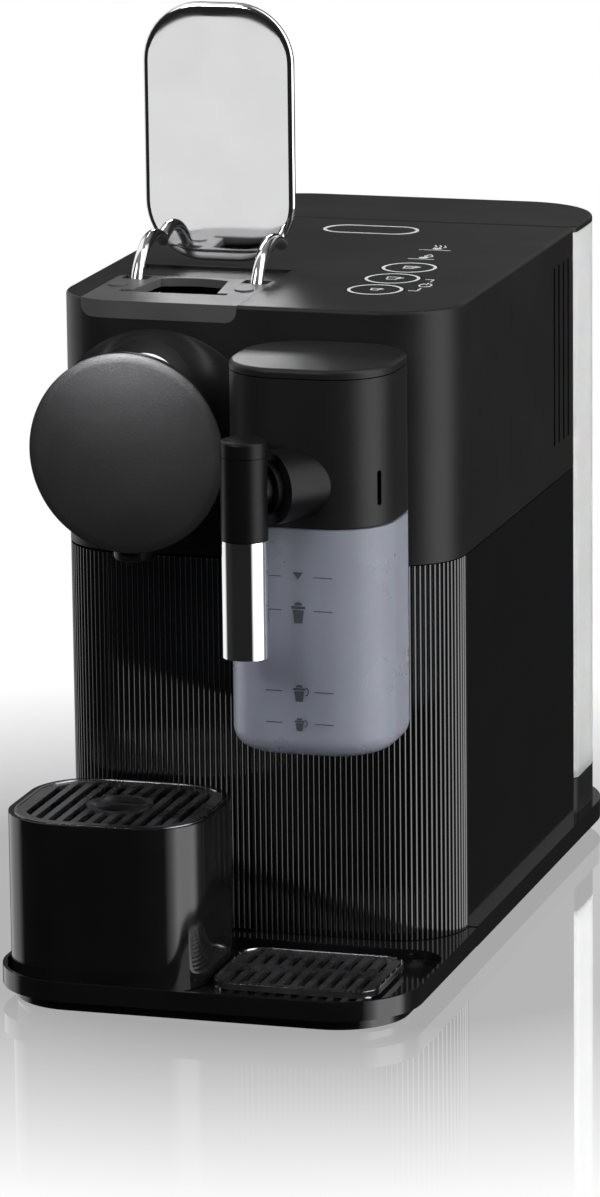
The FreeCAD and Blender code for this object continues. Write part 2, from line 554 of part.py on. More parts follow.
def make_head():
    """The fixed head: a flared cowl, a bright stem, the round front disc and the coffee outlet."""
    cowl = doc.addObject("PartDesign::Body", "cowl_body")
    rings = []
    for step in range(COWL_STEPS + 1):
        turn = math.radians(90 * step / COWL_STEPS)
        forward, inward = round(1 - math.cos(turn), 4), round(math.sin(turn), 4)
        rings.append(ring_section(cowl, f"-body_front + (body_front - barrel_end) * {forward}",
                                  f"cowl_z + (stem_z - cowl_z) * {inward}",
                                  f"cowl_radius + (barrel_radius - cowl_radius) * {inward}",
                                  f"cowl_ring_{step}"))
    loft = cowl.newObject("PartDesign::AdditiveLoft", "cowl_loft")
    loft.Profile = rings[0]
    loft.Sections = rings[1:]
    loft.Ruled = False
    doc.recompute()
    round_base = rod("cowl_base", "cowl_radius", ("head_x", "body_front", "cowl_z"), "body_round", TO_REAR)
    body_space = slab("cowl_body_space", BODY, "seam_low - body_round", "body_top")
    skirt = cut("cowl_skirt", round_base, body_space)
    bore = rod("cowl_bore", "stem_radius + ease", ("head_x", "barrel_end - spare", "stem_z"),
               "body_front - barrel_end + 2 * spare", TO_REAR)
    node("head_cowl", cut("cowl_bored", fuse("cowl", cowl, skirt), bore))

    disc_back = "disc_front + disc_thick"
    stem = rod("stem_rod", "stem_radius", ("head_x", disc_back, "stem_z"),
               f"body_front + wall + extraction_gap - ({disc_back})", TO_REAR)
    duct = rod("stem_duct", "duct_radius", ("head_x", "outlet_y", "stem_z"),
               "body_front - outlet_y + 5 * spare", TO_REAR)
    neck = "outlet_neck / 2"
    neck_pocket = box("stem_pocket", (f"outlet_x - {neck} - ease", f"outlet_x + {neck} + ease"),
                      (f"outlet_y - {neck} - ease", f"outlet_y + {neck} + ease"),
                      ("stem_z - stem_radius - spare", "outlet_high + ease"))
    drop = rod("stem_drop", "outlet_bore", ("outlet_x", "outlet_y", "outlet_high"), "stem_z - outlet_high")
    node("head_stem", cut("stem", stem, duct, neck_pocket, drop))

    disc = doc.addObject("PartDesign::Body", "disc_body")
    pad(disc, ring_section(disc, f"-({disc_back})", "disc_z", "disc_radius", "disc_circle"), "disc_thick")
    front = val("disc_front")
    fillet(disc, "disc_edge",
           lambda edge: abs(edge.BoundBox.YMin - front) < 1e-3 and edge.BoundBox.YLength < 1e-3)
    node("head_disc", disc)

    nozzle = doc.addObject("PartDesign::Body", "nozzle_body")
    pad(nozzle, circle_on(sketch_on(nozzle, "XY_Plane", "outlet_low", "nozzle_circle"), "outlet_x",
                          "outlet_y",
                          "outlet_half"), "stem_z - stem_radius - ease - outlet_low")
    fillet(nozzle, "outlet_round", at_height(val("outlet_low")))
    tongue = box("outlet_tongue", (f"outlet_x - {neck}", f"outlet_x + {neck}"),
                 (f"outlet_y - {neck}", f"outlet_y + {neck}"), ("stem_z - stem_radius - spare",
                                                                "outlet_high"))
    bore = rod("outlet_drop", "outlet_bore", ("outlet_x", "outlet_y", "outlet_low - spare"),
               "outlet_high - outlet_low + 2 * spare")
    node("coffee_outlet", cut("outlet", fuse("outlet_blank", nozzle, tongue), bore))


def make_brew_unit():
    """Extraction plate in front of the capsule, its cradle below, and the sliding cup behind."""
    plate_front = "body_front + wall + extraction_gap"
    plate_back = f"{plate_front} + extraction_thick"
    plate = rod("extraction_disc", "cradle_radius", ("head_x", plate_front, "stem_z"), "extraction_thick",
                TO_REAR)
    duct = rod("extraction_duct", "duct_radius", ("head_x", "body_front", "stem_z"), "20 * spare", TO_REAR)
    node("extraction_plate", cut("extraction", plate, duct))
    outer = rod("cradle_outer", "cradle_radius", ("head_x", plate_back, "stem_z"), "cradle_length", TO_REAR)
    inner = rod("cradle_inner", "cradle_radius - cradle_wall",
                ("head_x", f"{plate_back} - spare", "stem_z"),
                "cradle_length + 2 * spare", TO_REAR)
    above = box("cradle_above", ("head_x - cradle_radius - spare", "head_x + cradle_radius + spare"),
                (f"{plate_back} - spare", f"{plate_back} + cradle_length + spare"),
                ("stem_z - cradle_wall * 3", "stem_z + cradle_radius + spare"))
    mouth = box("cradle_mouth", ("head_x - cradle_mouth / 2", "head_x + cradle_mouth / 2"),
                ("flange_rear", "pod_rear + pod_bulge"), ("stem_z - cradle_radius - spare", "stem_z"))
    node("brew_cradle", cut("cradle", outer, inner, above, mouth))
    cup = rod("piston_outer", "piston_radius", ("head_x", "piston_front", "stem_z"),
              "piston_rear - piston_front", TO_REAR)
    hollow = cone("piston_hollow", "piston_radius - piston_wall",
                  "piston_radius - piston_wall - piston_taper",
                  ("head_x", "piston_front", "stem_z"), "piston_rear - piston_front - piston_back", TO_REAR)
    node("brew_piston", cut("piston", cup, hollow))


# ---------------------------------------------------------------- lever

def make_lever():
    """Folding plate that opens the capsule slot, on two bent tubes that turn about the hinge."""
    half = "lever_width / 2"
    blank = doc.addObject("PartDesign::Body", "lever_blank")
    sketch = sketch_on(blank, "XZ_Plane", "-lever_face - lever_thick", "lever_outline")
    rounded(sketch, (f"head_x - {half}", f"head_x + {half}", "lever_low", "lever_high", "lever_round",
                     "lever_round"))
    pad(blank, sketch, "lever_thick")
    face, back = val("lever_face"), val("lever_face + lever_thick")
    fillet(blank, "lever_edge", lambda edge: edge.BoundBox.YLength < 1e-3 and
           min(abs(edge.BoundBox.YMin - face), abs(edge.BoundBox.YMin - back)) < 1e-3)
    node("lever_plate", blank)

    hub_at = V(0, val("hinge_y"), val("hinge_z"))
    for side, sign in SIDES:
        x = f"arm_centre {sign} arm_x"
        ring = doc.addObject("Part::Torus", f"arm_tube_{side}")
        bind(ring, Radius1="arm_ring", Radius2="arm_radius", Angle3="arm_to - arm_from")
        turn = FreeCAD.Rotation(V(1, 0, 0), val("arm_from"))
        ring.Placement.Rotation = turn.multiply(FreeCAD.Rotation(V(0, 1, 0), V(0, 0, 1), V(1, 0, 0)))
        place(ring, (x, "hinge_y", "hinge_z"))
        hub = rod(f"crank_hub_{side}", "hub_radius", (f"{x} - hub_half", "hinge_y", "hinge_z"),
                  "2 * hub_half", TO_RIGHT)
        web = Part.makeBox(val("web_thick"), val("arm_ring + web_end"), val("web_high"),
                           V(val(f"{x} - web_thick / 2"), hub_at.y, hub_at.z - val("web_high") / 2))
        web.rotate(V(val(x), hub_at.y, hub_at.z), V(1, 0, 0), val("arm_to + web_tilt"))
        bore = rod(f"crank_bore_{side}", "pin_radius", (f"{x} - 2 * hub_half", "hinge_y", "hinge_z"),
                   "4 * hub_half", TO_RIGHT)
        blank_arm = fuse(f"arm_blank_{side}", ring, hub, solid(f"arm_web_{side}", web))
        node(f"lever_arm_{side}", cut(f"arm_{side}", blank_arm, bore))
    starts = ("arm_centre - arm_x - pin_out", "arm_centre + arm_x - hub_half")
    pins = [rod(f"pin_{side}", "pin_radius", (start, "hinge_y", "hinge_z"), "pin_out + hub_half", TO_RIGHT)
            for (side, _), start in zip(SIDES, starts)]
    node("lever_pins", group("pins", *pins))
    blocks = []
    starts = ("arm_centre - arm_x - pin_out", "arm_centre + arm_x + bearing_out")
    for (side, _), start in zip(SIDES, starts):
        block = box(f"bearing_block_{side}", (start, f"{start} + bearing_thick"),
                    ("hinge_y - bearing_half", "hinge_y + bearing_half"), ("hinge_z - bearing_half",
                                                                           "body_top - wall"))
        hole = rod(f"bearing_hole_{side}", "pin_radius + pin_gap",
                   (f"{start} - spare", "hinge_y", "hinge_z"),
                   "bearing_thick + 2 * spare", TO_RIGHT)
        blocks.append(cut(f"bearing_{side}", block, hole))
    node("lever_bearings", group("bearings", *blocks))


# ---------------------------------------------------------------- buttons and electronics

BUTTONS = ("small_cup", "large_cup", "milk_drink")


def make_buttons():
    """Three caps that press switches on the board, each with a white ring let into its face."""
    under_cap = "body_top - button_thick"
    post_low = "board_high + switch_high + post_gap"
    switches = []
    for i, name in enumerate(BUTTONS):
        y = f"button_first + {i} * button_step"
        cap = rod(f"cap_{name}", "button_radius", ("button_x", y, under_cap), "button_thick")
        post = rod(f"post_{name}", "button_post", ("button_x", y, post_low),
                   f"{under_cap} - ({post_low}) + button_overlap")
        outer = rod(f"groove_outer_{name}", "button_radius - ring_inset",
                    ("button_x", y, "body_top - ring_deep"),
                    "ring_deep")
        inner = rod(f"groove_inner_{name}", "button_radius - ring_inset - ring_width",
                    ("button_x", y, "body_top - ring_deep - spare"), "ring_deep + 2 * spare")
        ring = cut(f"ring_{name}", outer, inner)
        node(f"button_{name}", cut(f"button_{name}_solid", fuse(f"button_{name}_blank", cap, post), ring))
        node(f"button_ring_{name}", ring)
        switches.append(box(f"switch_{i}", ("button_x - switch_side / 2", "button_x + switch_side / 2"),
                            (f"{y} - switch_side / 2", f"{y} + switch_side / 2"),
                            ("board_high", "board_high + switch_high")))
    node("control_board", box("board", ("board_left", "board_right"), ("board_front", "board_rear"),
                              ("board_high - board_thick", "board_high")))
    node("button_switches", group("switches", *switches))


# ---------------------------------------------------------------- milk jug

def spout_direction():
    angle = math.radians(val("spout_side"))
    return V(-math.sin(angle), -math.cos(angle), 0)


def along_spout(name, radius, start, length):
    """A cylinder on the spout's pivot axis, from start to start + length in front of the jug."""
    cylinder = doc.addObject("Part::Cylinder", name)
    bind(cylinder, Radius=radius, Height=length)
    way = spout_direction()
    base = V(val("boss_x"), val("jug_front"), val("spout_z")) + way * val(start)
    cylinder.Placement = FreeCAD.Placement(base, FreeCAD.Rotation(V(0, 0, 1), way))
    return cylinder


def make_milk_head():
    """The clip-on head: shell, sleeve that the container slides on, lid, and the milk ducts."""
    shell = bell("head_shell", JUG, "head_low", "lid_seam - head_gap", "jug_wall", "jug_wall")
    sleeve_ring = inset(JUG, "sleeve_inset")
    outer = slab("sleeve_outer", sleeve_ring, "sleeve_low", "head_low + 3 * spare")
    inner = slab("sleeve_inner", inset(JUG, "sleeve_inset + jug_wall"), "sleeve_low - spare",
                 "head_low + 4 * spare")
    sleeve = cut("head_sleeve", outer, inner)
    passage = along_spout("boss_passage", "boss_duct + ease", "-boss_depth - 2 * spare",
                          "boss_depth + 4 * spare")
    tail = rod("nipple_passage", "nipple_radius + fit", ("nipple_x", "jug_rear - 3 * jug_wall", "nipple_z"),
               "5 * jug_wall", TO_REAR)
    head = cut("head_pierced", fuse("head_blank", shell, sleeve), passage, tail, release_slot())
    node("milk_head", head)

    lid = slab("lid_slab", JUG, "lid_seam + head_gap", "jug_top")
    fillet(lid, "lid_round", at_height(val("jug_top")))
    node("milk_lid", lid)

    gasket = slab("gasket_blank", inset(JUG, "seal_inset"), "head_low - seal_thick", "head_low")
    hole = slab("gasket_hole", sleeve_ring, "head_low - spare", "head_low + spare")
    node("milk_head_seal", cut("gasket", gasket, hole))

    nipple = rod("nipple_rod", "nipple_radius", ("nipple_x", "jug_rear - nipple_in", "nipple_z"),
                 "nipple_in + nipple_out", TO_REAR)
    nipple_hole = rod("nipple_hole", "nipple_bore",
                      ("nipple_x", "jug_rear - nipple_in - spare", "nipple_z"),
                      "nipple_in + nipple_out + 2 * spare", TO_REAR)
    node("milk_nipple", cut("nipple", nipple, nipple_hole))

    mixer_low = "spout_z - mixer_down"
    node("froth_mixer", box("mixer_block", ("mixer_left", "mixer_right"),
                            ("mixer_front", "jug_rear - nipple_in - ease"), (mixer_low,
                                                                             "spout_z + mixer_up")))
    pickup_foot = "jug_low + pickup_low"
    pickup = rod("pickup_rod", "pickup_radius", ("pickup_x", "pickup_y", pickup_foot),
                 f"{mixer_low} - ({pickup_foot})")
    pickup_hole = rod("pickup_hole", "pickup_bore", ("pickup_x", "pickup_y", f"{pickup_foot} - spare"),
                      f"{mixer_low} - ({pickup_foot}) + 2 * spare")
    node("milk_pickup_tube", cut("pickup", pickup, pickup_hole))

    boss = along_spout("boss_rod", "boss_radius", "-boss_depth", "boss_depth + boss_reach")
    jug_space = slab("jug_space", JUG, "sleeve_low", "jug_top")
    duct = along_spout("boss_tube", "boss_duct", "-boss_depth - boss_tail",
                       "boss_depth + boss_tail + boss_reach")
    bore = along_spout("boss_hole", "boss_bore", "-boss_depth - 4 * spare",
                       "boss_depth + boss_reach + 8 * spare")
    node("spout_boss", cut("boss", fuse("boss_blank", cut("boss_trimmed", boss, jug_space), duct), bore))


def release_slot():
    """A thin upright slot with round ends through the head's right front corner."""
    corner = V(val("jug_right - jug_round"), val("jug_front + jug_round"), val("mark_z"))
    radius, tall = val("mark_wide / 2"), val("mark_tall / 2")
    depth, inner = val("2 * jug_wall"), val("jug_round - jug_wall - spare")
    way = V(1, 0, 0)
    shape = Part.makeBox(depth, 2 * radius, 2 * tall, corner + V(inner, -radius, -tall))
    for end in (-tall, tall):
        shape = shape.fuse(Part.makeCylinder(radius, depth, corner + V(inner, 0, end), way))
    shape.rotate(corner, V(0, 0, 1), val("mark_side") - 90)
    return solid("release_slot", shape)


def make_spout():
    """The elbow that turns on the boss, its vertical tube, cap and sliding sleeve."""
    way = spout_direction()
    reach = val("spout_reach")
    x = str(val("boss_x") + way.x * reach)
    y = str(val("jug_front") + way.y * reach)
    collar_end = "boss_reach + collar_gap + collar_thick"
    collar = along_spout("elbow_collar", "collar_radius", "boss_reach + collar_gap", "collar_thick")
    neck = along_spout("elbow_neck", "neck_radius", collar_end, f"spout_reach - ({collar_end})")
    tube = rod("tube_outer", "tube_radius", (x, y, "tube_low"), "cap_seam - tube_low")
    node("spout_elbow", cut("elbow", fuse("elbow_blank", collar, neck), tube))

    guide = rod("tube_guide", "guide_radius", (x, y, "sleeve_bottom + guide_low"),
                "tube_low - sleeve_bottom - guide_low + guide_top")
    bore = rod("tube_bore", "spout_bore", (x, y, "sleeve_bottom"),
               "tube_low - sleeve_bottom + spout_bore_top")
    node("spout_tube", cut("tube", fuse("tube_blank", tube, guide), bore))

    cap = doc.addObject("PartDesign::Body", "cap_body")
    pad(cap, circle_on(sketch_on(cap, "XY_Plane", "cap_seam + head_gap", "cap_circle"), x, y,
                       "tube_radius"),
        "tube_top - cap_seam - head_gap")
    fillet(cap, "cap_round", at_height(val("tube_top")))
    node("spout_cap", cap)

    sleeve = rod("sleeve_rod", "tube_radius", (x, y, "sleeve_bottom"),
                 "tube_low - sleeve_play - sleeve_bottom")
    sleeve_hole = rod("sleeve_hole", "guide_radius + sleeve_play", (x, y, "sleeve_bottom - spare"),
                      "tube_low - sleeve_bottom + 2 * spare")
    node("spout_sleeve", cut("sleeve", sleeve, sleeve_hole))


def make_milk_container():
    body = slab("jug_blank", JUG, "jug_low", "head_low - container_gap")
    fillet(body, "jug_foot_round", at_height(val("jug_low")))
    inner = slab("jug_inner", inset(JUG, "jug_wall"), "jug_low + jug_wall", "head_low + spare")
    fillet(inner, "jug_foot_round - jug_wall", at_height(val("jug_low + jug_wall")))
    node("milk_container", cut("container", body, inner))


def make_steam_socket():
    body = rod("socket_rod", "socket_radius", ("nipple_x", "body_front", "nipple_z"), "socket_length",
               TO_REAR)
    bore = rod("socket_bore", "nipple_radius + socket_play", ("nipple_x", "body_front - spare", "nipple_z"),
               "socket_bore_deep + spare", TO_REAR)
    tail = rod("socket_tail", "nipple_bore", ("nipple_x", "body_front", "nipple_z"),
               "socket_length + spare", TO_REAR)
    node("steam_socket", cut("socket", body, bore, tail))


# ---------------------------------------------------------------- drawer

def make_drawer():
    """Drip tray with the base's front wall, and the used-capsule container behind its ribbed front."""
    blank = slab("tray_blank", PLATE, "plate_low + 0.2", "tray_top")
    rear = box("tray_rear_cut", ("-plate_half - spare", "plate_half + spare"),
               ("split_y - split_gap", "plate_rear + spare"), ("0", "tray_top + spare"))
    hollow = slab("tray_hollow", ("-plate_half + tray_rim", "plate_half - tray_rim",
                                  "plate_front + tray_rim",
                                  "tray_rear", "plate_round_front - tray_rim", "tray_round"),
                  "tray_floor", "tray_top + spare")
    stand_bed = slab("tray_stand_bed", inset(STAND, "-stand_bed"), "tray_floor", "tray_top + spare")
    bearer = box("bin_bearer", ("bearer_left", "bearer_right"), ("bearer_front", "bearer_rear"),
                 ("tray_top - spare", "bin_low"))
    node("drip_tray", fuse("tray", cut("tray_cut", blank, rear, hollow, stand_bed), bearer))

    node("capsule_container", tub("bin_body", BIN, "bin_low", "bin_high", "bin_wall", "bin_wall"))
    skin = raised(ribbed_skin(-1, val("front_skin")), val("front_low"), val("front_high"))
    node("container_front", solid("left_skin", skin))


def slot_row(name, first, last, pitch, width, front, rear, low, high):
    """Evenly pitched slots along Y between two X limits."""
    count = int((val(last) - val(first)) / val(pitch))
    start = (val(first) + val(last) - (count - 1) * val(pitch)) / 2
    offset = start - val(first)
    slots = []
    for i in range(count):
        x = f"{first} + {offset} + {i} * {pitch}"
        slots.append(box(f"{name}_{i}", (f"{x} - {width} / 2", f"{x} + {width} / 2"), (front, rear),
                         (low, high)))
    return fuse(name, *slots)


def make_cup_stand():
    body = tub("stand_body", STAND, "stand_low", "stand_top", "stand_wall", "stand_wall")
    under_grid = "stand_top - stand_grid_thick - ease"
    ledge = slab("ledge_blank", inset(STAND, "stand_wall"), f"{under_grid} - stand_ledge_thick", under_grid)
    opening = slab("ledge_opening", inset(STAND, "stand_wall + stand_ledge"),
                   f"{under_grid} - 3 * stand_ledge_thick",
                   "stand_top")
    node("cup_stand", fuse("stand", body, cut("stand_ledge", ledge, opening)))

    through = ("stand_top - stand_grid_thick - spare", "stand_top + spare")
    plate = slab("stand_grid_plate", inset(STAND, "stand_wall + stand_bed"),
                 "stand_top - stand_grid_thick", "stand_top")
    slots = slot_row("stand_slots", "stand_left + stand_margin", "stand_right - stand_margin",
                     "stand_slot_pitch",
                     "stand_slot_width", "stand_front", "stand_rear", *through)
    field = slab("stand_slot_field", inset(STAND, "stand_wall + stand_field"), *through)
    middle_x, middle_y = "(stand_left + stand_right) / 2", "(stand_front + stand_rear) / 2"
    height = f"{through[1]} - ({through[0]})"
    ring = rod("stand_ring", "stand_hole + stand_hole_rim", (middle_x, middle_y, through[0]), height)
    bridge = box("stand_hole_bridge", ("stand_left", "stand_right"),
                 (f"{middle_y} - stand_bridge / 2", f"{middle_y} + stand_bridge / 2"), through)
    hole = rod("stand_finger_hole", "stand_hole", (middle_x, middle_y, through[0]), height)
    trimmed = cut("stand_slots_trimmed", common("stand_slots_inside", slots, field), ring)
    half_holes = cut("stand_half_holes", hole, bridge)
    node("stand_grid", cut("stand_grid_cut", plate, trimmed, half_holes))


def make_drip_grid():
    plate = slab("drip_plate", GRID, "grid_low", "grid_top")
    through = ("grid_low - spare", "grid_top + spare")
    slots = slot_row("drip_slots", "grid_left + grid_side", "grid_right - grid_side", "grid_slot_pitch",
                     "grid_slot_width", "grid_front", "grid_rear", *through)
    field = slab("drip_field", inset(GRID, "grid_margin"), *through)
    bar = box("drip_bar", ("grid_left", "grid_right"), ("bar_front", "bar_rear"), through)
    corners = [(x, y) for x in ("grid_left + leg_inset", "grid_right - leg_inset")
               for y in ("grid_front + leg_inset", "grid_rear - leg_inset")]
    legs = [rod(f"grid_leg_{i}", "leg_radius", (x, y, "tray_floor"), "grid_low - tray_floor")
            for i, (x, y) in enumerate(corners)]
    pierced = cut("drip_pierced", plate, cut("drip_slots_split", common("drip_slots_inside", slots,
                                                                        field), bar))
    node("drip_grid", fuse("drip_grid_solid", pierced, *legs))


# ---------------------------------------------------------------- water tank

def make_tank():
    """Removable tank with its lid and foot valve, the seat it stands on, and the cord gland in the seat."""
    vessel = tub("tank_vessel", TANK, "tank_low", "tank_high", "tank_wall", "tank_wall")
    hole = rod("tank_outlet", "valve_radius - valve_lip", ("valve_x", "valve_y", "tank_low - spare"),
               "tank_wall + 2 * spare")
    node("water_tank", cut("tank", vessel, hole))
    stem = rod("valve_stem", "valve_radius - valve_lip - ease",
               ("valve_x", "valve_y", "seat_high - valve_down"),
               "tank_low - seat_high + 2 * valve_down")
    flange = rod("valve_flange", "valve_radius", ("valve_x", "valve_y", "tank_low + tank_wall"),
                 "flange_thick")
    bore = rod("valve_hole", "valve_bore", ("valve_x", "valve_y", "seat_high - 2 * valve_down"),
               "4 * valve_down")
    node("tank_valve", cut("valve", fuse("valve_blank", stem, flange), bore))
    lid = slab("tank_lid_slab", TANK, "tank_high + lid_gap", "body_top")
    fillet(lid, "lid_edge", at_height(val("body_top")))
    node("tank_lid", lid)

    seat = slab("seat_slab", TANK, "plate_top", "seat_high")
    well_low = "seat_high - well_deep"
    well = rod("seat_well", "valve_radius + well_gap", ("valve_x", "valve_y", well_low),
               "well_deep + spare")
    drain = rod("seat_drain", "hose_radius + ease", ("valve_x", "tank_front - spare", "drain_z"),
                "valve_y - tank_front + spare", TO_REAR)
    gland_hole = rod("gland_hole", "gland_radius + ease",
                     ("gland_x", "tank_rear - gland_in - 2 * ease", "gland_z"),
                     "gland_in + spare", TO_REAR)
    node("tank_seat", cut("seat", seat, well, drain, gland_hole))
    ring = rod("inlet_ring", "valve_radius + well_gap - ease", ("valve_x", "valve_y", well_low),
               "well_deep - 4 * ease")
    ring_bore = rod("inlet_bore", "valve_radius - valve_lip + 4 * ease",
                    ("valve_x", "valve_y", f"{well_low} + valve_lip"),
                    "well_deep")
    ring_side = rod("inlet_side", "valve_lip", ("valve_x", "valve_y - 2 * well_deep",
                                                f"{well_low} + well_gap"),
                    "2 * well_deep", TO_REAR)
    node("tank_inlet_valve", cut("inlet", ring, ring_bore, ring_side))
    gland = fuse("gland_blank",
                 rod("gland_body", "gland_radius", ("gland_x", "tank_rear - gland_in", "gland_z"),
                     "gland_in + 2 * ease", TO_REAR),
                 rod("gland_flange", "gland_rim", ("gland_x", "tank_rear + ease", "gland_z"),
                     "gland_rim_thick", TO_REAR),
                 cone("gland_nose", "gland_cone", "gland_tip",
                      ("gland_x", "tank_rear + gland_rim_thick", "gland_z"),
                      "gland_cone_length", TO_REAR))
    gland_bore = rod("gland_bore", "cord_radius", ("gland_x", "tank_rear - gland_in - spare", "gland_z"),
                     "gland_in + gland_rim_thick + gland_cone_length + 2 * spare", TO_REAR)
    node("cord_gland", cut("gland", gland, gland_bore))


# ---------------------------------------------------------------- inside

def hose(name, points, radius, bend):
    """A tube along straight runs with tangent arcs at the corners."""
    path = [V(*point) for point in points]
    edges, cursor = [], path[0]
    for before, corner, after in zip(path, path[1:], path[2:]):
        into = (corner - before).normalize()
        out = (after - corner).normalize()
        half_turn = into.getAngle(out) / 2
        leg = bend * math.tan(half_turn)
        start, end = corner - into * leg, corner + out * leg
        middle = corner + (out - into).normalize() * (bend / math.cos(half_turn) - bend)
        edges += [Part.makeLine(cursor, start), Part.Arc(start, middle, end).toShape()]
        cursor = end
    edges.append(Part.makeLine(cursor, path[-1]))
    wire = Part.Wire(edges)
    section = Part.Wire(Part.makeCircle(radius, path[0], path[1] - path[0]))
    return solid(name, wire.makePipeShell([section], True, False))


def make_inside():
    """What the housings hide: the shelf, heater, pump and the water hoses between them."""
    shelf = box("shelf_plate", ("-body_half + wall + shelf_gap", "body_half - wall - shelf_gap"),
                ("shelf_front", "body_rear - wall - shelf_gap"), ("shelf_low", "shelf_high"))
    hose_gap = rod("shelf_hole", "hose_radius + spare",
                   ("shelf_hole_x", "shelf_hole_y", "shelf_low - spare"),
                   "shelf_high - shelf_low + 2 * spare")
    node("inner_shelf", cut("shelf", shelf, hose_gap))
    thermo_top = "shelf_high + thermo_tall"
    block = box("thermo_block", ("thermo_left", "thermo_right"), ("thermo_front", "thermo_rear"),
                ("shelf_high", thermo_top))
    fins = [box(f"thermo_fin_{i}", ("thermo_left", "thermo_right"),
                (f"fin_first + {i} * fin_step", f"fin_first + {i} * fin_step + fin_thick"),
                (thermo_top, f"{thermo_top} + fin_tall")) for i in range(7)]
    node("thermoblock", fuse("thermo", block, *fins))

    core = rod("pump_core", "core_radius", ("pump_x", "core_front", "pump_z"), "core_length", TO_REAR)
    coil_x = ("pump_x - coil_half", "pump_x + coil_half")
    coil = box("pump_coil", coil_x, ("coil_front", "coil_rear"),
               ("pump_z - coil_half", "pump_z + coil_half"))
    nose_from = "core_front + core_length"
    nose = rod("pump_head", "pump_nose", ("pump_x", nose_from, "pump_z"), f"pump_rear - ({nose_from})",
               TO_REAR)
    node("pump", fuse("pump_solid", coil, core, nose))
    foot = box("bracket_plate", coil_x, ("core_front", "pump_rear"), ("plate_top", "bracket_top"))
    post = box("bracket_post", ("pump_x - post_half", "pump_x + post_half"), ("post_front", "post_rear"),
               ("bracket_top", "pump_z - coil_half"))
    node("pump_bracket", fuse("bracket", foot, post))

    pump_x, pump_z, drain_z = val("pump_x"), val("pump_z"), val("drain_z")
    hole_x, hole_y = val("shelf_hole_x"), val("shelf_hole_y")
    behind, beside, above = 88, 62, 170
    brew_x, brew_y, brew_z, stem_z = -61, -73, 184, val("stem_z")
    suction = hose("suction_hose", [(val("valve_x"), 114, drain_z), (val("valve_x"), behind, drain_z),
                                    (pump_x, behind, 40), (pump_x, behind, pump_z),
                                    (pump_x, val("pump_rear") + 0.2, pump_z)],
                   val("hose_radius"), val("hose_bend"))
    pressure = hose("pressure_hose", [(pump_x, val("core_front") - 0.2, pump_z), (pump_x, 2, pump_z),
                                      (beside, 2, pump_z), (beside, hole_y, pump_z), (beside, hole_y, 100),
                                      (hole_x, hole_y, 120), (hole_x, hole_y, above), (hole_x, 60, above),
                                      (val("thermo_right") + 0.1, 60, above)],
                    val("hose_radius"), val("hose_bend"))
    brew = hose("brew_hose", [(brew_x, val("thermo_front") - 0.2, brew_z), (brew_x, brew_y, brew_z),
                              (brew_x, brew_y, stem_z), (val("head_x - cradle_radius") - 0.1, brew_y,
                                                         stem_z)],
                val("brew_hose_radius"), val("brew_hose_bend"))
    node("water_hoses", group("hoses", suction, pressure, brew))


make_base_plate()
make_lower_housing()
make_upper_housing()
make_slot_panel()
make_head()
make_brew_unit()
make_lever()
make_buttons()
make_milk_head()
make_spout()
make_milk_container()
make_steam_socket()
make_drawer()
make_cup_stand()
make_drip_grid()
make_tank()
make_inside()
doc.recompute()

for thing in doc.Objects:
    if {"Invalid", "Error"} & set(thing.State):
        raise ValueError(f"{thing.Name} failed: {thing.State}")
for part in nodes:
    if part.Shape.isNull() or not part.Shape.isValid() or not part.Shape.Solids:
        raise ValueError(f"{part.Label} has no valid solid")
for part in nodes:
    part.Shape.exportStep(f"parts/{part.Label}.step")
    box_size = part.Shape.BoundBox
    print(f"{part.Label:24s} solids {len(part.Shape.Solids)}  volume {part.Shape.Volume / 1000:8.2f} cm3  "
          f"z {box_size.ZMin:.1f} to {box_size.ZMax:.1f}")
print(len(nodes), "nodes")
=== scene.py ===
"""Looks of the pod coffee machine: materials, fine detail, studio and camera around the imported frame."""
import json
import math

import bmesh
import bpy
from mathutils import Matrix, Vector

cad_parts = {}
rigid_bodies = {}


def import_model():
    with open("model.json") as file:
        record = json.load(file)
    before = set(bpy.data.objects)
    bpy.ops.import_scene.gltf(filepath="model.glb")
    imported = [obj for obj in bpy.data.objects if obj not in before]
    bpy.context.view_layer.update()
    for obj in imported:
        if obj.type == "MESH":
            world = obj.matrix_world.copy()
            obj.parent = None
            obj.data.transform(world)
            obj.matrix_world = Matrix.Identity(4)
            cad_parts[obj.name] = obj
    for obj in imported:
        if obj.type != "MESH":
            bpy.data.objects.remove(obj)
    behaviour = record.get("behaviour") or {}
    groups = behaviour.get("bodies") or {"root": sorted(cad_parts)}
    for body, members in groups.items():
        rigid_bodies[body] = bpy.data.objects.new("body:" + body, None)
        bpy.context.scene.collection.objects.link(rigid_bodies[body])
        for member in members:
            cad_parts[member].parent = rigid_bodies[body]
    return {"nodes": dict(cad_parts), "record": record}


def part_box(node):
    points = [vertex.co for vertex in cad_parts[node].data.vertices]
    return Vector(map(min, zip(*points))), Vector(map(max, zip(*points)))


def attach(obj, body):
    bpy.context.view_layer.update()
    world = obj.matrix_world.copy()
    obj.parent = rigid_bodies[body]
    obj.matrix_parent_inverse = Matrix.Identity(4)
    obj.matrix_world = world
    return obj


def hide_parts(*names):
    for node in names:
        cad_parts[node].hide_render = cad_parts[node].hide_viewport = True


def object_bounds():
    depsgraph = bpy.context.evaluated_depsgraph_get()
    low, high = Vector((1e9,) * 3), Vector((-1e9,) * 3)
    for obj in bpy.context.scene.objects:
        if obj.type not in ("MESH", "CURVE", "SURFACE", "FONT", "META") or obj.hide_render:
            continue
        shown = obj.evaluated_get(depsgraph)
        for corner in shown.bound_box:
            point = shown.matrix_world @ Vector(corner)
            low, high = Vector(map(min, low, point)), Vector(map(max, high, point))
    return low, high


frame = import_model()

CAD_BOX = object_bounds()
NODES = frame["nodes"]
MM = 0.001
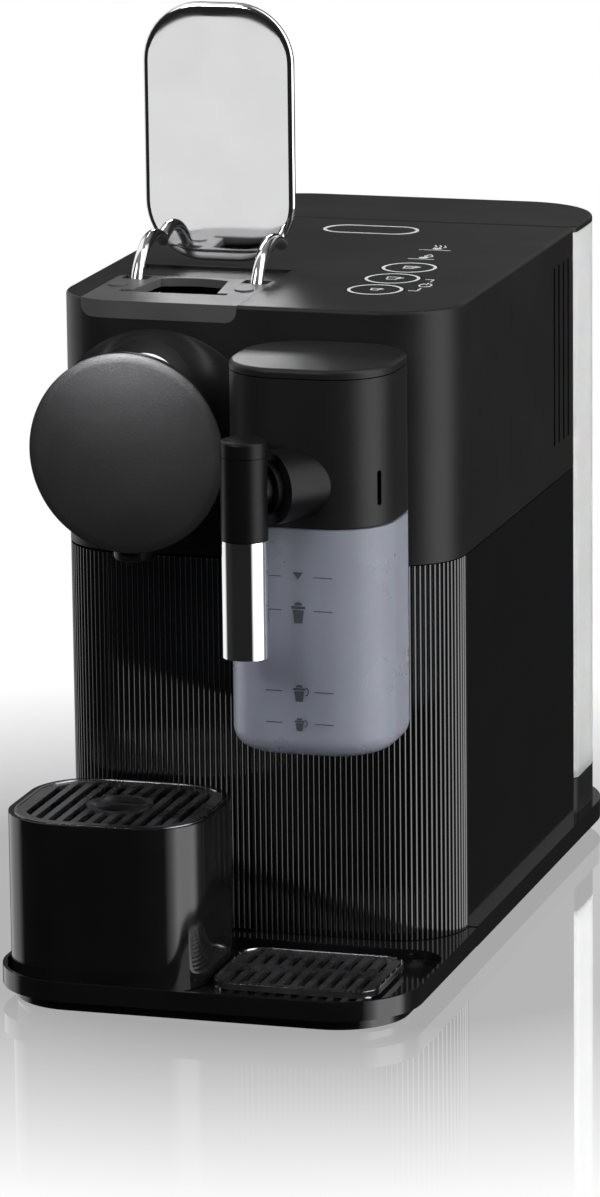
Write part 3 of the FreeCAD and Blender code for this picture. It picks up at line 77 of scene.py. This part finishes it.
scene = bpy.context.scene


# ---------------------------------------------------------------- materials

# Noise scales are features per metre.
COLOUR_PATCHES, TINT_PATCHES, GLOSS_PATCHES, DUST = 35, 30, 22, 90
GRAIN, FLAKE_GRAIN, RUBBER_GRAIN = 2600, 3400, 1500
GRAIN_DEPTH = 0.2 * MM
SLOW_WAVE, SLOW_WAVE_STRENGTH, WAVE_DEPTH = 55, 0.05, 0.4 * MM
PLATING_WAVE, PLATING_DEPTH = 40, 0.3 * MM
HAZE_WAVE, HAZE_STRENGTH, HAZE_PATCHES = 60, 0.03, 45
SCATTER_REACH = 6 * MM
CLEAR_IOR, CLEAR_SPECULAR = 1.4, 0.3


def new_material(name):
    """An empty node material."""
    material = bpy.data.materials.new(name)
    material.use_nodes = True
    return material


def principled(material):
    """The material's main shader."""
    return material.node_tree.nodes["Principled BSDF"]


def shade(material, **sockets):
    """Sets constants on the main shader's sockets, named with _ for a space."""
    for socket, value in sockets.items():
        principled(material).inputs[socket.replace("_", " ")].default_value = value


def add(tree, kind, **inputs):
    """A new node with constants on its inputs, named with _ for a space."""
    made = tree.nodes.new(kind)
    for name, value in inputs.items():
        made.inputs[name.replace("_", " ")].default_value = value
    return made


def noise(material, scale, detail=3.0, stretch=(1, 1, 1)):
    """A noise in the object's own metres; its features are about 1 / scale wide."""
    tree = material.node_tree
    place = add(tree, "ShaderNodeTexCoord")
    mapping = add(tree, "ShaderNodeMapping", Scale=stretch)
    made = add(tree, "ShaderNodeTexNoise", Scale=scale, Detail=detail)
    tree.links.new(place.outputs["Object"], mapping.inputs["Vector"])
    tree.links.new(mapping.outputs["Vector"], made.inputs["Vector"])
    return made.outputs["Fac"]


def remap(material, source, low, high, dark=0.3, light=0.7):
    """A noise's usual span, stretched onto low to high."""
    made = add(material.node_tree, "ShaderNodeMapRange",
               From_Min=dark, From_Max=light, To_Min=low, To_Max=high)
    material.node_tree.links.new(source, made.inputs["Value"])
    return made.outputs["Result"]


def mottled(material, colour, change, scale):
    """The base colour, drifting a little lighter and darker over the surface."""
    ramp = add(material.node_tree, "ShaderNodeValToRGB")
    low, high = ramp.color_ramp.elements
    low.position, high.position = 0.3, 0.7
    low.color = (*[c * (1 - change) for c in colour], 1)
    high.color = (*[c * (1 + change) for c in colour], 1)
    material.node_tree.links.new(noise(material, scale), ramp.inputs["Fac"])
    material.node_tree.links.new(ramp.outputs["Color"], principled(material).inputs["Base Color"])


def bumped(material, height, strength, distance):
    """A fine relief over the surface."""
    bump = add(material.node_tree, "ShaderNodeBump", Strength=strength, Distance=distance)
    material.node_tree.links.new(height, bump.inputs["Height"])
    material.node_tree.links.new(bump.outputs["Normal"], principled(material).inputs["Normal"])


def rough(material, low, high, scale, stretch=(1, 1, 1)):
    """A roughness that wanders between two values."""
    gloss = remap(material, noise(material, scale, 4.0, stretch), low, high)
    material.node_tree.links.new(gloss, principled(material).inputs["Roughness"])


def moulded(name, colour, roughness, grain=0.15, grain_scale=GRAIN, patch=0.04, specular=0.25):
    """Moulded plastic: fine spark-eroded grain, and faint handling patches in its gloss."""
    material = new_material(name)
    mottled(material, colour, 0.1, COLOUR_PATCHES)
    rough(material, roughness - patch, roughness + patch, GLOSS_PATCHES)
    bumped(material, noise(material, grain_scale, 2.0), grain, GRAIN_DEPTH)
    shade(material, Specular_IOR_Level=specular)
    return material


def polished(name, colour, roughness, specular=0.3):
    """Glossy plastic with the slow waviness of a moulded face and fine dust in its gloss."""
    material = new_material(name)
    mottled(material, colour, 0.15, HAZE_WAVE)
    rough(material, roughness * 0.7, roughness * 1.5, DUST)
    bumped(material, noise(material, SLOW_WAVE, 1.0), SLOW_WAVE_STRENGTH, WAVE_DEPTH)
    shade(material, Specular_IOR_Level=specular)
    return material


def metal(name, colour, low, high, scale=60, stretch=(1, 1, 1), wave=0.02):
    """Bare or plated metal: its gloss varies with wiping marks along the stretch."""
    material = new_material(name)
    mottled(material, colour, 0.03, PLATING_WAVE)
    rough(material, low, high, scale, stretch)
    bumped(material, noise(material, PLATING_WAVE, 1.0), wave, PLATING_DEPTH)
    shade(material, Metallic=1.0)
    return material


def painted_metal(name, colour, roughness):
    """Satin metallic lacquer: fine flakes sparkle in an even grain."""
    material = moulded(name, colour, roughness, grain=0.35, grain_scale=FLAKE_GRAIN, specular=0.5)
    shade(material, Metallic=0.85, Coat_Weight=0.1, Coat_Roughness=0.25)
    return material


def clear_plastic(name, colour, roughness, transmission, scatter):
    """Tinted see-through plastic, slightly hazy."""
    material = new_material(name)
    mottled(material, colour, 0.04, TINT_PATCHES)
    rough(material, roughness * 0.85, roughness * 1.2, HAZE_PATCHES)
    bumped(material, noise(material, HAZE_WAVE, 1.0), HAZE_STRENGTH, WAVE_DEPTH)
    shade(material, Transmission_Weight=transmission, IOR=CLEAR_IOR, Specular_IOR_Level=CLEAR_SPECULAR,
          Subsurface_Weight=scatter, Subsurface_Scale=SCATTER_REACH)
    return material


def make_materials():
    """One material for each slot of the record."""
    return {
        "satin_black": moulded("satin_black", (0.0165, 0.0165, 0.017), 0.4, grain=0.22, specular=0.22),
        "gloss_black": polished("gloss_black", (0.0085, 0.0085, 0.009), 0.09, specular=0.45),
        "disc_satin": painted_metal("disc_satin", (0.055, 0.055, 0.057), 0.33),
        "mirror_chrome": metal("mirror_chrome", (0.9, 0.9, 0.91), 0.03, 0.07),
        "polished_grid": metal("polished_grid", (0.6, 0.6, 0.62), 0.2, 0.34),
        "smoky_plastic": clear_plastic("smoky_plastic", (0.6, 0.63, 0.72), 0.3, 0.55, 0.18),
        "frosted_white": clear_plastic("frosted_white", (0.97, 0.97, 0.97), 0.5, 0.8, 0.3),
        "white_print": moulded("white_print", (0.86, 0.87, 0.88), 0.5, grain=0.05),
        "button_black": moulded("button_black", (0.012, 0.012, 0.0125), 0.4, grain=0.2),
        "black_rubber": moulded("black_rubber", (0.012, 0.012, 0.012), 0.75,
                                grain=0.4, grain_scale=RUBBER_GRAIN),
        "inner_plastic": moulded("inner_plastic", (0.012, 0.012, 0.0125), 0.5, grain=0.25),
        "steel": metal("steel", (0.58, 0.58, 0.6), 0.2, 0.35, 300, (1, 12, 1)),
        "cast_aluminium": metal("cast_aluminium", (0.62, 0.62, 0.64), 0.4, 0.6, 500, wave=0.3),
        "pump_body": moulded("pump_body", (0.05, 0.05, 0.055), 0.35),
        "circuit_board": moulded("circuit_board", (0.02, 0.12, 0.05), 0.35, grain=0.3, grain_scale=900),
    }


materials = make_materials()
scale_print = moulded("scale_print", (0.1, 0.11, 0.13), 0.5, grain=0.05)
# A pale grey on the stem behind the disc: a painted highlight, standing in for the bright reflection on its
# neck.
stem_painted_highlight = moulded("stem_painted_highlight", (0.8, 0.8, 0.81), 0.3, grain=0.1)
# A darker copy of the satin black for the milk spout: painted shade, where the spout sits in shadow.
spout_painted_shade = moulded("spout_painted_shade", (0.007, 0.007, 0.0075), 0.36, grain=0.15, specular=0.16)
# A lighter copy of the satin black for the top slot panel and its bumpers: a painted sheen, standing in for
# the light its top face reflects.
panel_painted_sheen = moulded("panel_painted_sheen", (0.11, 0.11, 0.112), 0.42, grain=0.2, specular=0.2)
rib_gloss = polished("rib_gloss", (0.004, 0.004, 0.0045), 0.1, specular=0.9)

REFINISHED = {"slot_panel": panel_painted_sheen, "slot_bumpers": panel_painted_sheen, "head_stem": stem_painted_highlight,
              "lower_housing": rib_gloss, "container_front": rib_gloss,
              "spout_tube": spout_painted_shade, "spout_cap": spout_painted_shade, "spout_boss": spout_painted_shade,
              "spout_elbow": spout_painted_shade}


def finish_nodes():
    """Every CAD node takes its record slot's material, except a few. The ribbed front has a gloss of its own,
    and three pieces carry painted light: the top panel as a painted sheen, the spout as painted shade and the
    stem as a painted highlight.
    """
    for subpart in frame["record"]["subparts"]:
        name = subpart["node"]
        piece = NODES[name]
        piece.data.materials.clear()
        piece.data.materials.append(REFINISHED.get(name) or materials[subpart["material_slot"]])


# ---------------------------------------------------------------- building pieces

PRINT_THICK = 0.12 * MM
CREASE = math.radians(35)
SHARPEST_MITRE = 0.5
TO_FRONT = (0, -1, 0)


def middle(name):
    """The centre, the half size and the highest corner of a CAD node's box, in metres."""
    low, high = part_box(name)
    low, high = Vector(low), Vector(high)
    return (low + high) / 2, (high - low) / 2, high


def finished(name, mesh, matrix, body, slot, material=None):
    """Links a mesh as a smooth piece that rides a body and takes a slot's finish."""
    mesh.materials.append(material or materials[slot])
    piece = bpy.data.objects.new(name, mesh)
    scene.collection.objects.link(piece)
    mesh.transform(matrix)
    mesh.shade_smooth()
    mesh.set_sharp_from_angle(angle=CREASE)
    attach(piece, body)
    return piece


def to_mesh(name, bm):
    """The finished mesh of a bmesh, its faces turned outward."""
    bmesh.ops.recalc_face_normals(bm, faces=bm.faces)
    mesh = bpy.data.meshes.new(name)
    bm.to_mesh(mesh)
    bm.free()
    return mesh


def facing(at, normal, up=(0, 0, 1)):
    """A frame at a point: its Z looks along the normal and its Y as near up as it can."""
    z = Vector(normal).normalized()
    x = Vector(up).cross(z).normalized()
    turn = Matrix((x, z.cross(x), z)).transposed().to_4x4()
    return Matrix.Translation(at) @ turn


def joined(bm, first, second):
    """A band of faces between two closed rings of the same number of corners."""
    for i in range(len(first)):
        j = (i + 1) % len(first)
        bm.faces.new((first[i], first[j], second[j], second[i]))


def lathe(name, profile, matrix, body, slot, steps):
    """A turned piece whose (radius, height) profile starts and ends on the frame's Z."""
    bm = bmesh.new()
    rings = []
    for radius, height in profile:
        if radius == 0:
            rings.append([bm.verts.new((0, 0, height))])
            continue
        rings.append([bm.verts.new((radius * math.cos(turn), radius * math.sin(turn), height))
                      for turn in (2 * math.pi * i / steps for i in range(steps))])
    for lower, upper in zip(rings, rings[1:]):
        for i in range(steps):
            j = (i + 1) % steps
            corners = [ring[k % len(ring)] for ring, k in ((lower, i), (lower, j), (upper, j), (upper, i))]
            bm.faces.new(list(dict.fromkeys(corners)))
    return finished(name, to_mesh(name, bm), matrix, body, slot)


def strokes(name, paths, width, matrix, body, slot, thick=PRINT_THICK, material=None):
    """Thin printed lines: each path is its points in millimetres, closed if it ends where it starts."""
    bm = bmesh.new()
    for path in paths:
        closed = path[0] == path[-1]
        points = [Vector((*point, 0)) * MM for point in (path[:-1] if closed else path)]
        rails = []
        for i, point in enumerate(points):
            before = points[i - 1] if i or closed else point
            after = points[(i + 1) % len(points)] if i + 1 < len(points) or closed else point
            ways = [(b - a).normalized() for a, b in ((before, point), (point, after)) if (b - a).length > 0]
            along = sum(ways, Vector()).normalized()
            lean = max(along.dot(ways[0]), SHARPEST_MITRE)
            side = Vector((-along.y, along.x, 0)) * width * MM / 2 / lean
            corners = [(side, 0), (side, thick), (-side, thick), (-side, 0)]
            rails.append([bm.verts.new(point + out + Vector((0, 0, z))) for out, z in corners])
        pairs = list(zip(rails, rails[1:])) + ([(rails[-1], rails[0])] if closed else [])
        for first, second in pairs:
            joined(bm, first, second)
        if not closed:
            bm.faces.new(rails[0])
            bm.faces.new(rails[-1])
    return finished(name, to_mesh(name, bm), matrix, body, slot, material)


def plates(name, shapes, matrix, body, slot, material=None):
    """Thin filled prints: each shape is an outline in millimetres."""
    bm = bmesh.new()
    for outline in shapes:
        low = [bm.verts.new((x * MM, y * MM, 0)) for x, y in outline]
        high = [bm.verts.new((x * MM, y * MM, PRINT_THICK)) for x, y in outline]
        bm.faces.new(low)
        bm.faces.new(high)
        joined(bm, low, high)
    return finished(name, to_mesh(name, bm), matrix, body, slot, material)


def arc(cx, cy, rx, ry, start, end, steps=24):
    """Points of an ellipse's arc, its angles in degrees."""
    turns = [math.radians(start + (end - start) * i / steps) for i in range(steps + 1)]
    return [(cx + rx * math.cos(turn), cy + ry * math.sin(turn)) for turn in turns]


def moved(points, dx, dy):
    """The same points, shifted."""
    return [(x + dx, y + dy) for x, y in points]


def pill(half, radius):
    """A closed outline with round ends, centred on the origin."""
    right = arc(half - radius, 0, radius, radius, -90, 90)
    left = arc(radius - half, 0, radius, radius, 90, 270)
    return right + left + right[:1]


def round_box(half_x, half_y, radius, corner_steps=12):
    """A closed rectangle outline with round corners, centred on the origin."""
    points = []
    for sx, sy, start in ((1, -1, -90), (1, 1, 0), (-1, 1, 90), (-1, -1, 180)):
        points += arc(sx * (half_x - radius), sy * (half_y - radius), radius, radius,
                      start, start + 90, corner_steps)
    return points + points[:1]


# ---------------------------------------------------------------- brew head

DISC_DOME = 2.6 * MM
DISC_BEVEL = 0.5 * MM
DISC_SIDES = 144


def make_disc():
    """The front disc: a shallow dome with a fine bevel round its edge."""
    centre, half, high = middle("head_disc")
    radius, thick = half.x, 2 * half.y
    rim = thick - DISC_DOME
    side = [(0, 0), (radius - 2 * DISC_BEVEL, 0), (radius - DISC_BEVEL / 2, DISC_BEVEL),
            (radius, 2 * DISC_BEVEL), (radius, rim - DISC_BEVEL),
            (radius - 0.3 * DISC_BEVEL, rim - 0.3 * DISC_BEVEL)]
    inward = [0.98] + [tenth / 10 for tenth in range(9, -1, -1)]
    dome = [(radius * part, rim + DISC_DOME * (1 - part ** 2)) for part in inward]
    disc = lathe("front_disc", side + dome, facing((centre.x, high.y, centre.z), TO_FRONT),
                 "machine", "disc_satin", DISC_SIDES)
    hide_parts("head_disc")


# ---------------------------------------------------------------- lever

# In millimetres: the plate's corner radius, how far its edge falls away and from how far in, and its
# rolled edges as (inset from the outline, depth below the face).
PLATE_CORNER = 22.0
SAG_REACH = 6.0
SAG_DEPTH = 0.16
FRONT_ROLL = [(0.0, 1.1), (0.25, 0.55), (0.6, 0.2), (1.2, 0.0)]
BACK_ROLL = [(0.0, 1.1), (0.3, 0.45), (0.8, 0.1), (1.4, 0.0)]
FACE_INSETS = (2.5, 4, 6, 8, 10, 12, 15)


def make_lever_plate():
    """The mirror plate: a flat middle that falls away gently towards its rolled edge."""
    centre, half, high = middle("lever_plate")
    half_x, half_z, thick = half.x / MM, half.z / MM, 2 * half.y / MM
    bm = bmesh.new()

    def ring(inset, height):
        outline = round_box(half_x - inset, half_z - inset, PLATE_CORNER - inset)[:-1]
        return [bm.verts.new((x * MM, y * MM, height * MM)) for x, y in outline]

    front = []
    for inset, drop in FRONT_ROLL + [(step, 0.0) for step in FACE_INSETS]:
        sag = SAG_DEPTH * max(0, 1 - inset / SAG_REACH) ** 2
        front.append(ring(inset, thick - drop - sag))
    back = [ring(inset, height) for inset, height in BACK_ROLL]
    loops = front[::-1] + back
    for first, second in zip(loops, loops[1:]):
        joined(bm, first, second)
    bm.faces.new(front[-1])
    bm.faces.new(back[-1])
    plate = finished("lever_mirror_plate", to_mesh("lever_mirror_plate", bm),
                     facing((centre.x, high.y, centre.z), TO_FRONT), "lever", "mirror_chrome")
    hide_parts("lever_plate")


# ---------------------------------------------------------------- printed marks

# The air left under a print; the rest are in millimetres.
TOP_PRINT = 0.02 * MM
CUP_SIGNS = {"small_cup": 3.2, "large_cup": 4.4, "milk_drink": 4.4}
CUP_LINE, SIGN_LINE, POWER_LINE = 0.55, 0.45, 0.5
BADGE_INSET, BADGE_LINE = 0.7, 1.3
ALERT_INSET = 1.8
POWER_OFFSET = 15.5
BRACKET_REACH, BRACKET_DEEP = 11.5, 3.2


def above(x, y, node="upper_housing"):
    """A frame just above a node's highest face."""
    _, _, high = middle(node)
    return Matrix.Translation((x, y, high.z + TOP_PRINT))


def cup(width, tall):
    """A tapering cup seen from the side: its outline, centred, its foot at y = 0."""
    foot = width * 0.36
    return [(-foot, 0), (foot, 0), (width / 2, tall), (-width / 2, tall), (-foot, 0)]


def make_cup_signs():
    """A cup with a handle on each button; the milk drink's has a line of foam."""
    for name, size in CUP_SIGNS.items():
        button = "button_" + name
        centre, _, _ = middle(button)
        handle = [(size / 2, size * 0.35), (size * 0.8, size * 0.3), (size * 0.45, -size * 0.15)]
        paths = [moved(cup(size, size), 0, -size / 2), handle]
        if name == "milk_drink":
            paths.append([(-size * 0.5, size * 0.1), (size * 0.5, size * 0.1)])
        strokes("print_" + name, paths, CUP_LINE, above(centre.x, centre.y, button), name + "_button",
                "white_print")


def make_badge_ring():
    """The outline of the blank badge."""
    badge, half, _ = middle("top_badge")
    outline = pill(half.x / MM - BADGE_INSET, half.y / MM - BADGE_INSET)
    strokes("badge_ring", [outline], BADGE_LINE, above(badge.x, badge.y, "top_badge"), "machine",
            "white_print")


def make_alert_signs():
    """A drop for rinsing and three steam lines for descaling, each over a plain line."""
    lens, half, _ = middle("alert_lenses")
    rinse = above(lens.x, lens.y - half.y + ALERT_INSET * MM)
    descale = above(lens.x, lens.y + half.y - ALERT_INSET * MM)
    drop = arc(0, 0, 1.5, 1.5, -220, 40) + [(0, 3.4)]
    strokes("print_rinse", [moved(drop + drop[:1], 1.2, 3.0), [(-5, -3.4), (5, -3.4)]], SIGN_LINE, rinse,
            "machine", "white_print")
    steam = [[(x + 0.6 * math.sin(i), -2.2 + i * 0.9 + 4.4) for i in range(6)] for x in (-1.8, 0, 1.8)]
    strokes("print_descale", steam + [[(-6, -3.4), (6, -3.4)]], SIGN_LINE, descale, "machine",
            "white_print")


def make_power_sign():
    """The power sign beside the buttons, with a bracket from it to the outer two."""
    small, _, _ = middle("button_small_cup")
    large, _, _ = middle("button_large_cup")
    sign = [arc(0, 0, 2.2, 3.2, 110, 430), [(0, 0.8), (0, 4.6)]]
    for way, start in ((1, 7), (-1, 6)):
        sign.append([(0, way * BRACKET_REACH), (-BRACKET_DEEP, way * BRACKET_REACH)])
        sign.append([(0, way * BRACKET_REACH), (0, way * start)])
    place = above(small.x + POWER_OFFSET * MM, (small.y + large.y) / 2)
    strokes("print_power", sign, POWER_LINE, place, "machine", "white_print")


# The container's marks, in millimetres: heights above the table and sizes of its cups.
FULL_HEIGHT = 158
LARGE_CUP, MEDIUM_CUP, SMALL_CUP = (146, 7.5, 5), (117, 6, 4.4), (105.6, 4.6, 3.6)
RIGHT_TICK, LEFT_TICK = (5.6, 12.4), (-12.2, -6.2)
TICK_LINE, HANDLE_LINE = 0.3, 0.4
FULL_SIGN = [(-1.8, 159.6), (1.8, 159.6), (0, 157)]


def block(half, foot, top, tall):
    """A flat four-sided outline: its half widths below and above, its foot at y = 0."""
    return [(-half * foot, 0), (half * foot, 0), (half * top, tall), (-half * top, tall)]


def cup_sign(height, tall, wide):
    """A filled cup with a lid and a knob, round a fill line's height."""
    low = height - tall * 0.6
    return [moved(cup(wide * 0.8, tall * 0.62)[:-1], 0, low),
            moved(block(wide / 2, 1, 1, tall * 0.12), 0, low + tall * 0.68),
            moved(block(wide, 0.3, 0.2, tall * 0.14), 0, low + tall * 0.85)]


def make_scale_marks():
    """Fill lines and generic cup signs on the front of the milk container."""
    centre, half, _ = middle("milk_container")
    place = facing((centre.x, centre.y - half.y - TOP_PRINT, 0), TO_FRONT)
    heights = [FULL_HEIGHT] + [mark[0] for mark in (LARGE_CUP, MEDIUM_CUP, SMALL_CUP)]
    lines = [[(tick[0], height), (tick[1], height)] for height in heights for tick in (RIGHT_TICK, LEFT_TICK)]
    signs = [shape for mark in (LARGE_CUP, MEDIUM_CUP, SMALL_CUP) for shape in cup_sign(*mark)]
    handles = [arc(2.0, MEDIUM_CUP[0], 1.3, 1.5, -80, 80, 10), arc(1.7, SMALL_CUP[0], 1.1, 1.2, -80, 80, 10)]
    container = ("milk_container", "inner_plastic")
    strokes("fill_lines", lines, TICK_LINE, place, *container, material=scale_print)
    plates("fill_signs", signs + [FULL_SIGN], place, *container, material=scale_print)
    strokes("cup_handles", handles, HANDLE_LINE, place, *container, material=scale_print)


# ---------------------------------------------------------------- grids

# In millimetres: each grid's corner radius, and the bead's inset, width, height and drop below the top.
GRID_CORNERS = {"stand_grid": 21.0, "drip_grid": 9.0}
BEAD_INSET, BEAD_WIDE, BEAD_TALL, BEAD_DROP = 0.55, 0.9, 0.45, 0.25


def make_grid_rims():
    """A bright rolled bead round the top of each grid."""
    for node, corner in GRID_CORNERS.items():
        centre, half, high = middle(node)
        place = Matrix.Translation((centre.x, centre.y, high.z - BEAD_DROP * MM))
        outline = round_box(half.x / MM - BEAD_INSET, half.y / MM - BEAD_INSET, corner - BEAD_INSET)
        strokes(node + "_bead", [outline], BEAD_WIDE, place, node, "mirror_chrome", thick=BEAD_TALL * MM)


# ---------------------------------------------------------------- studio

CAMERA_AT = Vector((0.6568, -2.2094, 0.6531))
YAW, PITCH, ROLL = math.radians(16.72), math.radians(-13.38), math.radians(-0.67)
LENS, SENSOR = 192.4, 36.0
SHIFT_X, SHIFT_Y = 0.0023, 0.0274
FARTHEST = 50


def make_camera():
    """The camera at the photograph's viewpoint."""
    data = bpy.data.cameras.new("photo_camera")
    data.lens, data.sensor_width = LENS, SENSOR
    data.shift_x, data.shift_y = SHIFT_X, SHIFT_Y
    data.clip_end = FARTHEST
    camera = bpy.data.objects.new("photo_camera", data)
    scene.collection.objects.link(camera)
    turn = (Matrix.Rotation(YAW, 4, "Z") @ Matrix.Rotation(math.pi / 2 + PITCH, 4, "X")
            @ Matrix.Rotation(ROLL, 4, "Z"))
    camera.matrix_world = Matrix.Translation(CAMERA_AT) @ turn
    scene.camera = camera


def softbox(name, at, aim, width, height, power, only=()):
    """A rectangular light; where pieces are given, it lights them alone."""
    data = bpy.data.lights.new(name, "AREA")
    data.shape = "RECTANGLE"
    data.size, data.size_y = width, height
    data.energy = power
    light = bpy.data.objects.new(name, data)
    scene.collection.objects.link(light)
    light.location = at
    light.rotation_euler = (Vector(aim) - Vector(at)).to_track_quat("-Z", "Y").to_euler()
    if only:
        lit = bpy.data.collections.new(name + "_lit")
        for piece in only:
            lit.objects.link(piece)
        light.light_linking.receiver_collection = lit


def ramp_of(tree, source, stops):
    """A ramp over -180 to 180 degrees of the source; each stop is (degrees, brightness)."""
    turned = add(tree, "ShaderNodeMapRange", From_Min=-math.pi, From_Max=math.pi)
    tree.links.new(source, turned.inputs["Value"])
    ramp = add(tree, "ShaderNodeValToRGB")
    elements = ramp.color_ramp.elements
    for i, (degrees, level) in enumerate(stops):
        if i < 2:
            element = elements[i]
            element.position = (degrees + 180) / 360
        else:
            element = elements.new((degrees + 180) / 360)
        element.color = (level, level, level, 1)
    tree.links.new(turned.outputs["Result"], ramp.inputs["Fac"])
    return ramp.outputs["Color"]


def math_node(tree, operation, *sources):
    """A math node on sockets or plain numbers."""
    made = add(tree, "ShaderNodeMath")
    made.operation = operation
    for socket, source in zip(made.inputs, sources):
        if isinstance(source, (int, float)):
            socket.default_value = source
        else:
            tree.links.new(source, socket)
    return made.outputs["Value"]


# Brightness of the room by the direction that a reflection looks in. Azimuths are degrees from the front
# towards the right, elevations are degrees up; the first two stops of each list are its ends.
AROUND = [(-180, 0.02), (180, 0.02), (-150, 0.03), (-138, 1.0), (-100, 1.0), (-86, 0.04), (-45, 0.015),
          (46, 0.015), (60, 1.6), (70, 3.6), (104, 3.0), (116, 0.3), (130, 0.04)]
AROUND_UP = [(-180, 0.05), (180, 1), (-34, 0.05), (-19, 1)]
BEHIND_AROUND = [(-180, 0.42), (180, 0.42), (-171, 0.42), (-158, 0.04), (138, 0.02), (152, 0.42)]
BEHIND_UP = [(-180, 0), (180, 0), (5, 0), (8, 1), (19, 1), (25, 0.05)]
ABOVE = [(-180, 0), (180, 0), (25, 0), (50, 0.18), (90, 0.25)]


def make_world():
    """White to the camera and through clear plastic; otherwise a dark room with soft panels round it."""
    world = bpy.data.worlds.new("studio")
    scene.world = world
    world.use_nodes = True
    tree = world.node_tree
    coord = add(tree, "ShaderNodeTexCoord")
    split = add(tree, "ShaderNodeSeparateXYZ")
    tree.links.new(coord.outputs["Generated"], split.inputs["Vector"])
    backward = math_node(tree, "MULTIPLY", split.outputs["Y"], -1)
    azimuth = math_node(tree, "ARCTAN2", split.outputs["X"], backward)
    elevation = math_node(tree, "ARCSINE", split.outputs["Z"])
    sides = math_node(tree, "MULTIPLY", ramp_of(tree, azimuth, AROUND), ramp_of(tree, elevation, AROUND_UP))
    behind = math_node(tree, "MULTIPLY",
                       ramp_of(tree, azimuth, BEHIND_AROUND), ramp_of(tree, elevation, BEHIND_UP))
    panels = math_node(tree, "MAXIMUM", sides, behind)
    room = math_node(tree, "MAXIMUM", panels, ramp_of(tree, elevation, ABOVE))
    background = tree.nodes["Background"]
    white = add(tree, "ShaderNodeBackground", Color=(1, 1, 1, 1), Strength=1.0)
    mix = add(tree, "ShaderNodeMixShader")
    path = add(tree, "ShaderNodeLightPath")
    tree.links.new(room, background.inputs["Color"])
    seen = math_node(tree, "MAXIMUM", path.outputs["Is Camera Ray"], path.outputs["Is Transmission Ray"])
    tree.links.new(seen, mix.inputs["Fac"])
    tree.links.new(background.outputs["Background"], mix.inputs[1])
    tree.links.new(white.outputs["Background"], mix.inputs[2])
    tree.links.new(mix.outputs["Shader"], tree.nodes["World Output"].inputs["Surface"])


FLOOR_HALF = 4.0
MIRROR_NEAR, MIRROR_FADE = 0.62, 0.2
MIRROR_ROUGHNESS = 0.03


def make_floor():
    """A white floor whose polish fades out with the distance from the machine."""
    floor = new_material("studio_floor")
    tree = floor.node_tree
    coord = add(tree, "ShaderNodeTexCoord")
    away = add(tree, "ShaderNodeVectorMath")
    away.operation = "LENGTH"
    tree.links.new(coord.outputs["Object"], away.inputs[0])
    front_corner, _ = CAD_BOX
    reach = abs(float(front_corner[1]))
    fade = add(tree, "ShaderNodeMapRange",
               From_Min=reach, From_Max=reach + MIRROR_FADE, To_Min=MIRROR_NEAR, To_Max=0.0)
    tree.links.new(away.outputs["Value"], fade.inputs["Value"])
    white = add(tree, "ShaderNodeEmission", Color=(1, 1, 1, 1), Strength=1.0)
    mirror = add(tree, "ShaderNodeBsdfGlossy", Color=(1, 1, 1, 1), Roughness=MIRROR_ROUGHNESS)
    mix = add(tree, "ShaderNodeMixShader")
    tree.links.new(fade.outputs["Result"], mix.inputs["Fac"])
    tree.links.new(white.outputs["Emission"], mix.inputs[1])
    tree.links.new(mirror.outputs["BSDF"], mix.inputs[2])
    tree.links.new(mix.outputs["Shader"], tree.nodes["Material Output"].inputs["Surface"])
    mesh = bpy.data.meshes.new("floor")
    corners = [(x * FLOOR_HALF, y * FLOOR_HALF, 0) for x, y in ((-1, -1), (1, -1), (1, 1), (-1, 1))]
    mesh.from_pydata(corners, [], [(0, 1, 2, 3)])
    mesh.materials.append(floor)
    plane = bpy.data.objects.new("floor", mesh)
    scene.collection.objects.link(plane)
    plane.visible_glossy = False
    plane.visible_diffuse = False
    plane.visible_transmission = False


DISC_AT, LEVER_AT = (-0.05, -0.12, 0.21), (-0.035, 0, 0.29)
TANK_AT, STEM_AT = (0.077, 0.12, 0.15), (-0.033, -0.1, 0.22)


def make_lights():
    """A key and a fill for the whole machine, and a light each for the pieces that shine by themselves."""
    pieces = bpy.data.objects
    softbox("key_top", (-0.75, -1.0, 1.35), (0, 0, 0.2), 0.8, 0.8, 6.0)
    softbox("front_fill", (-0.36, -0.95, 0.62), DISC_AT, 0.26, 0.14, 1.6)
    softbox("disc_light", (-0.3, -0.95, 0.54), DISC_AT, 0.26, 0.14, 7.4, [pieces["front_disc"]])
    softbox("lever_card", (-0.34, -0.9, 0.095), LEVER_AT, 0.42, 0.25, 0.25, [pieces["lever_mirror_plate"]])
    softbox("tank_light", (0.95, 1.0, 0.5), TANK_AT, 0.5, 0.6, 8.0, [NODES["water_tank"]])
    softbox("stem_light", (0.25, -0.9, 0.8), STEM_AT, 0.5, 0.5, 16.0, [NODES["head_stem"]])


finish_nodes()
make_disc()
make_lever_plate()
make_cup_signs()
make_badge_ring()
make_alert_signs()
make_power_sign()
make_scale_marks()
make_grid_rims()
make_camera()
make_world()
make_floor()
make_lights()

scene.view_settings.view_transform = "Standard"
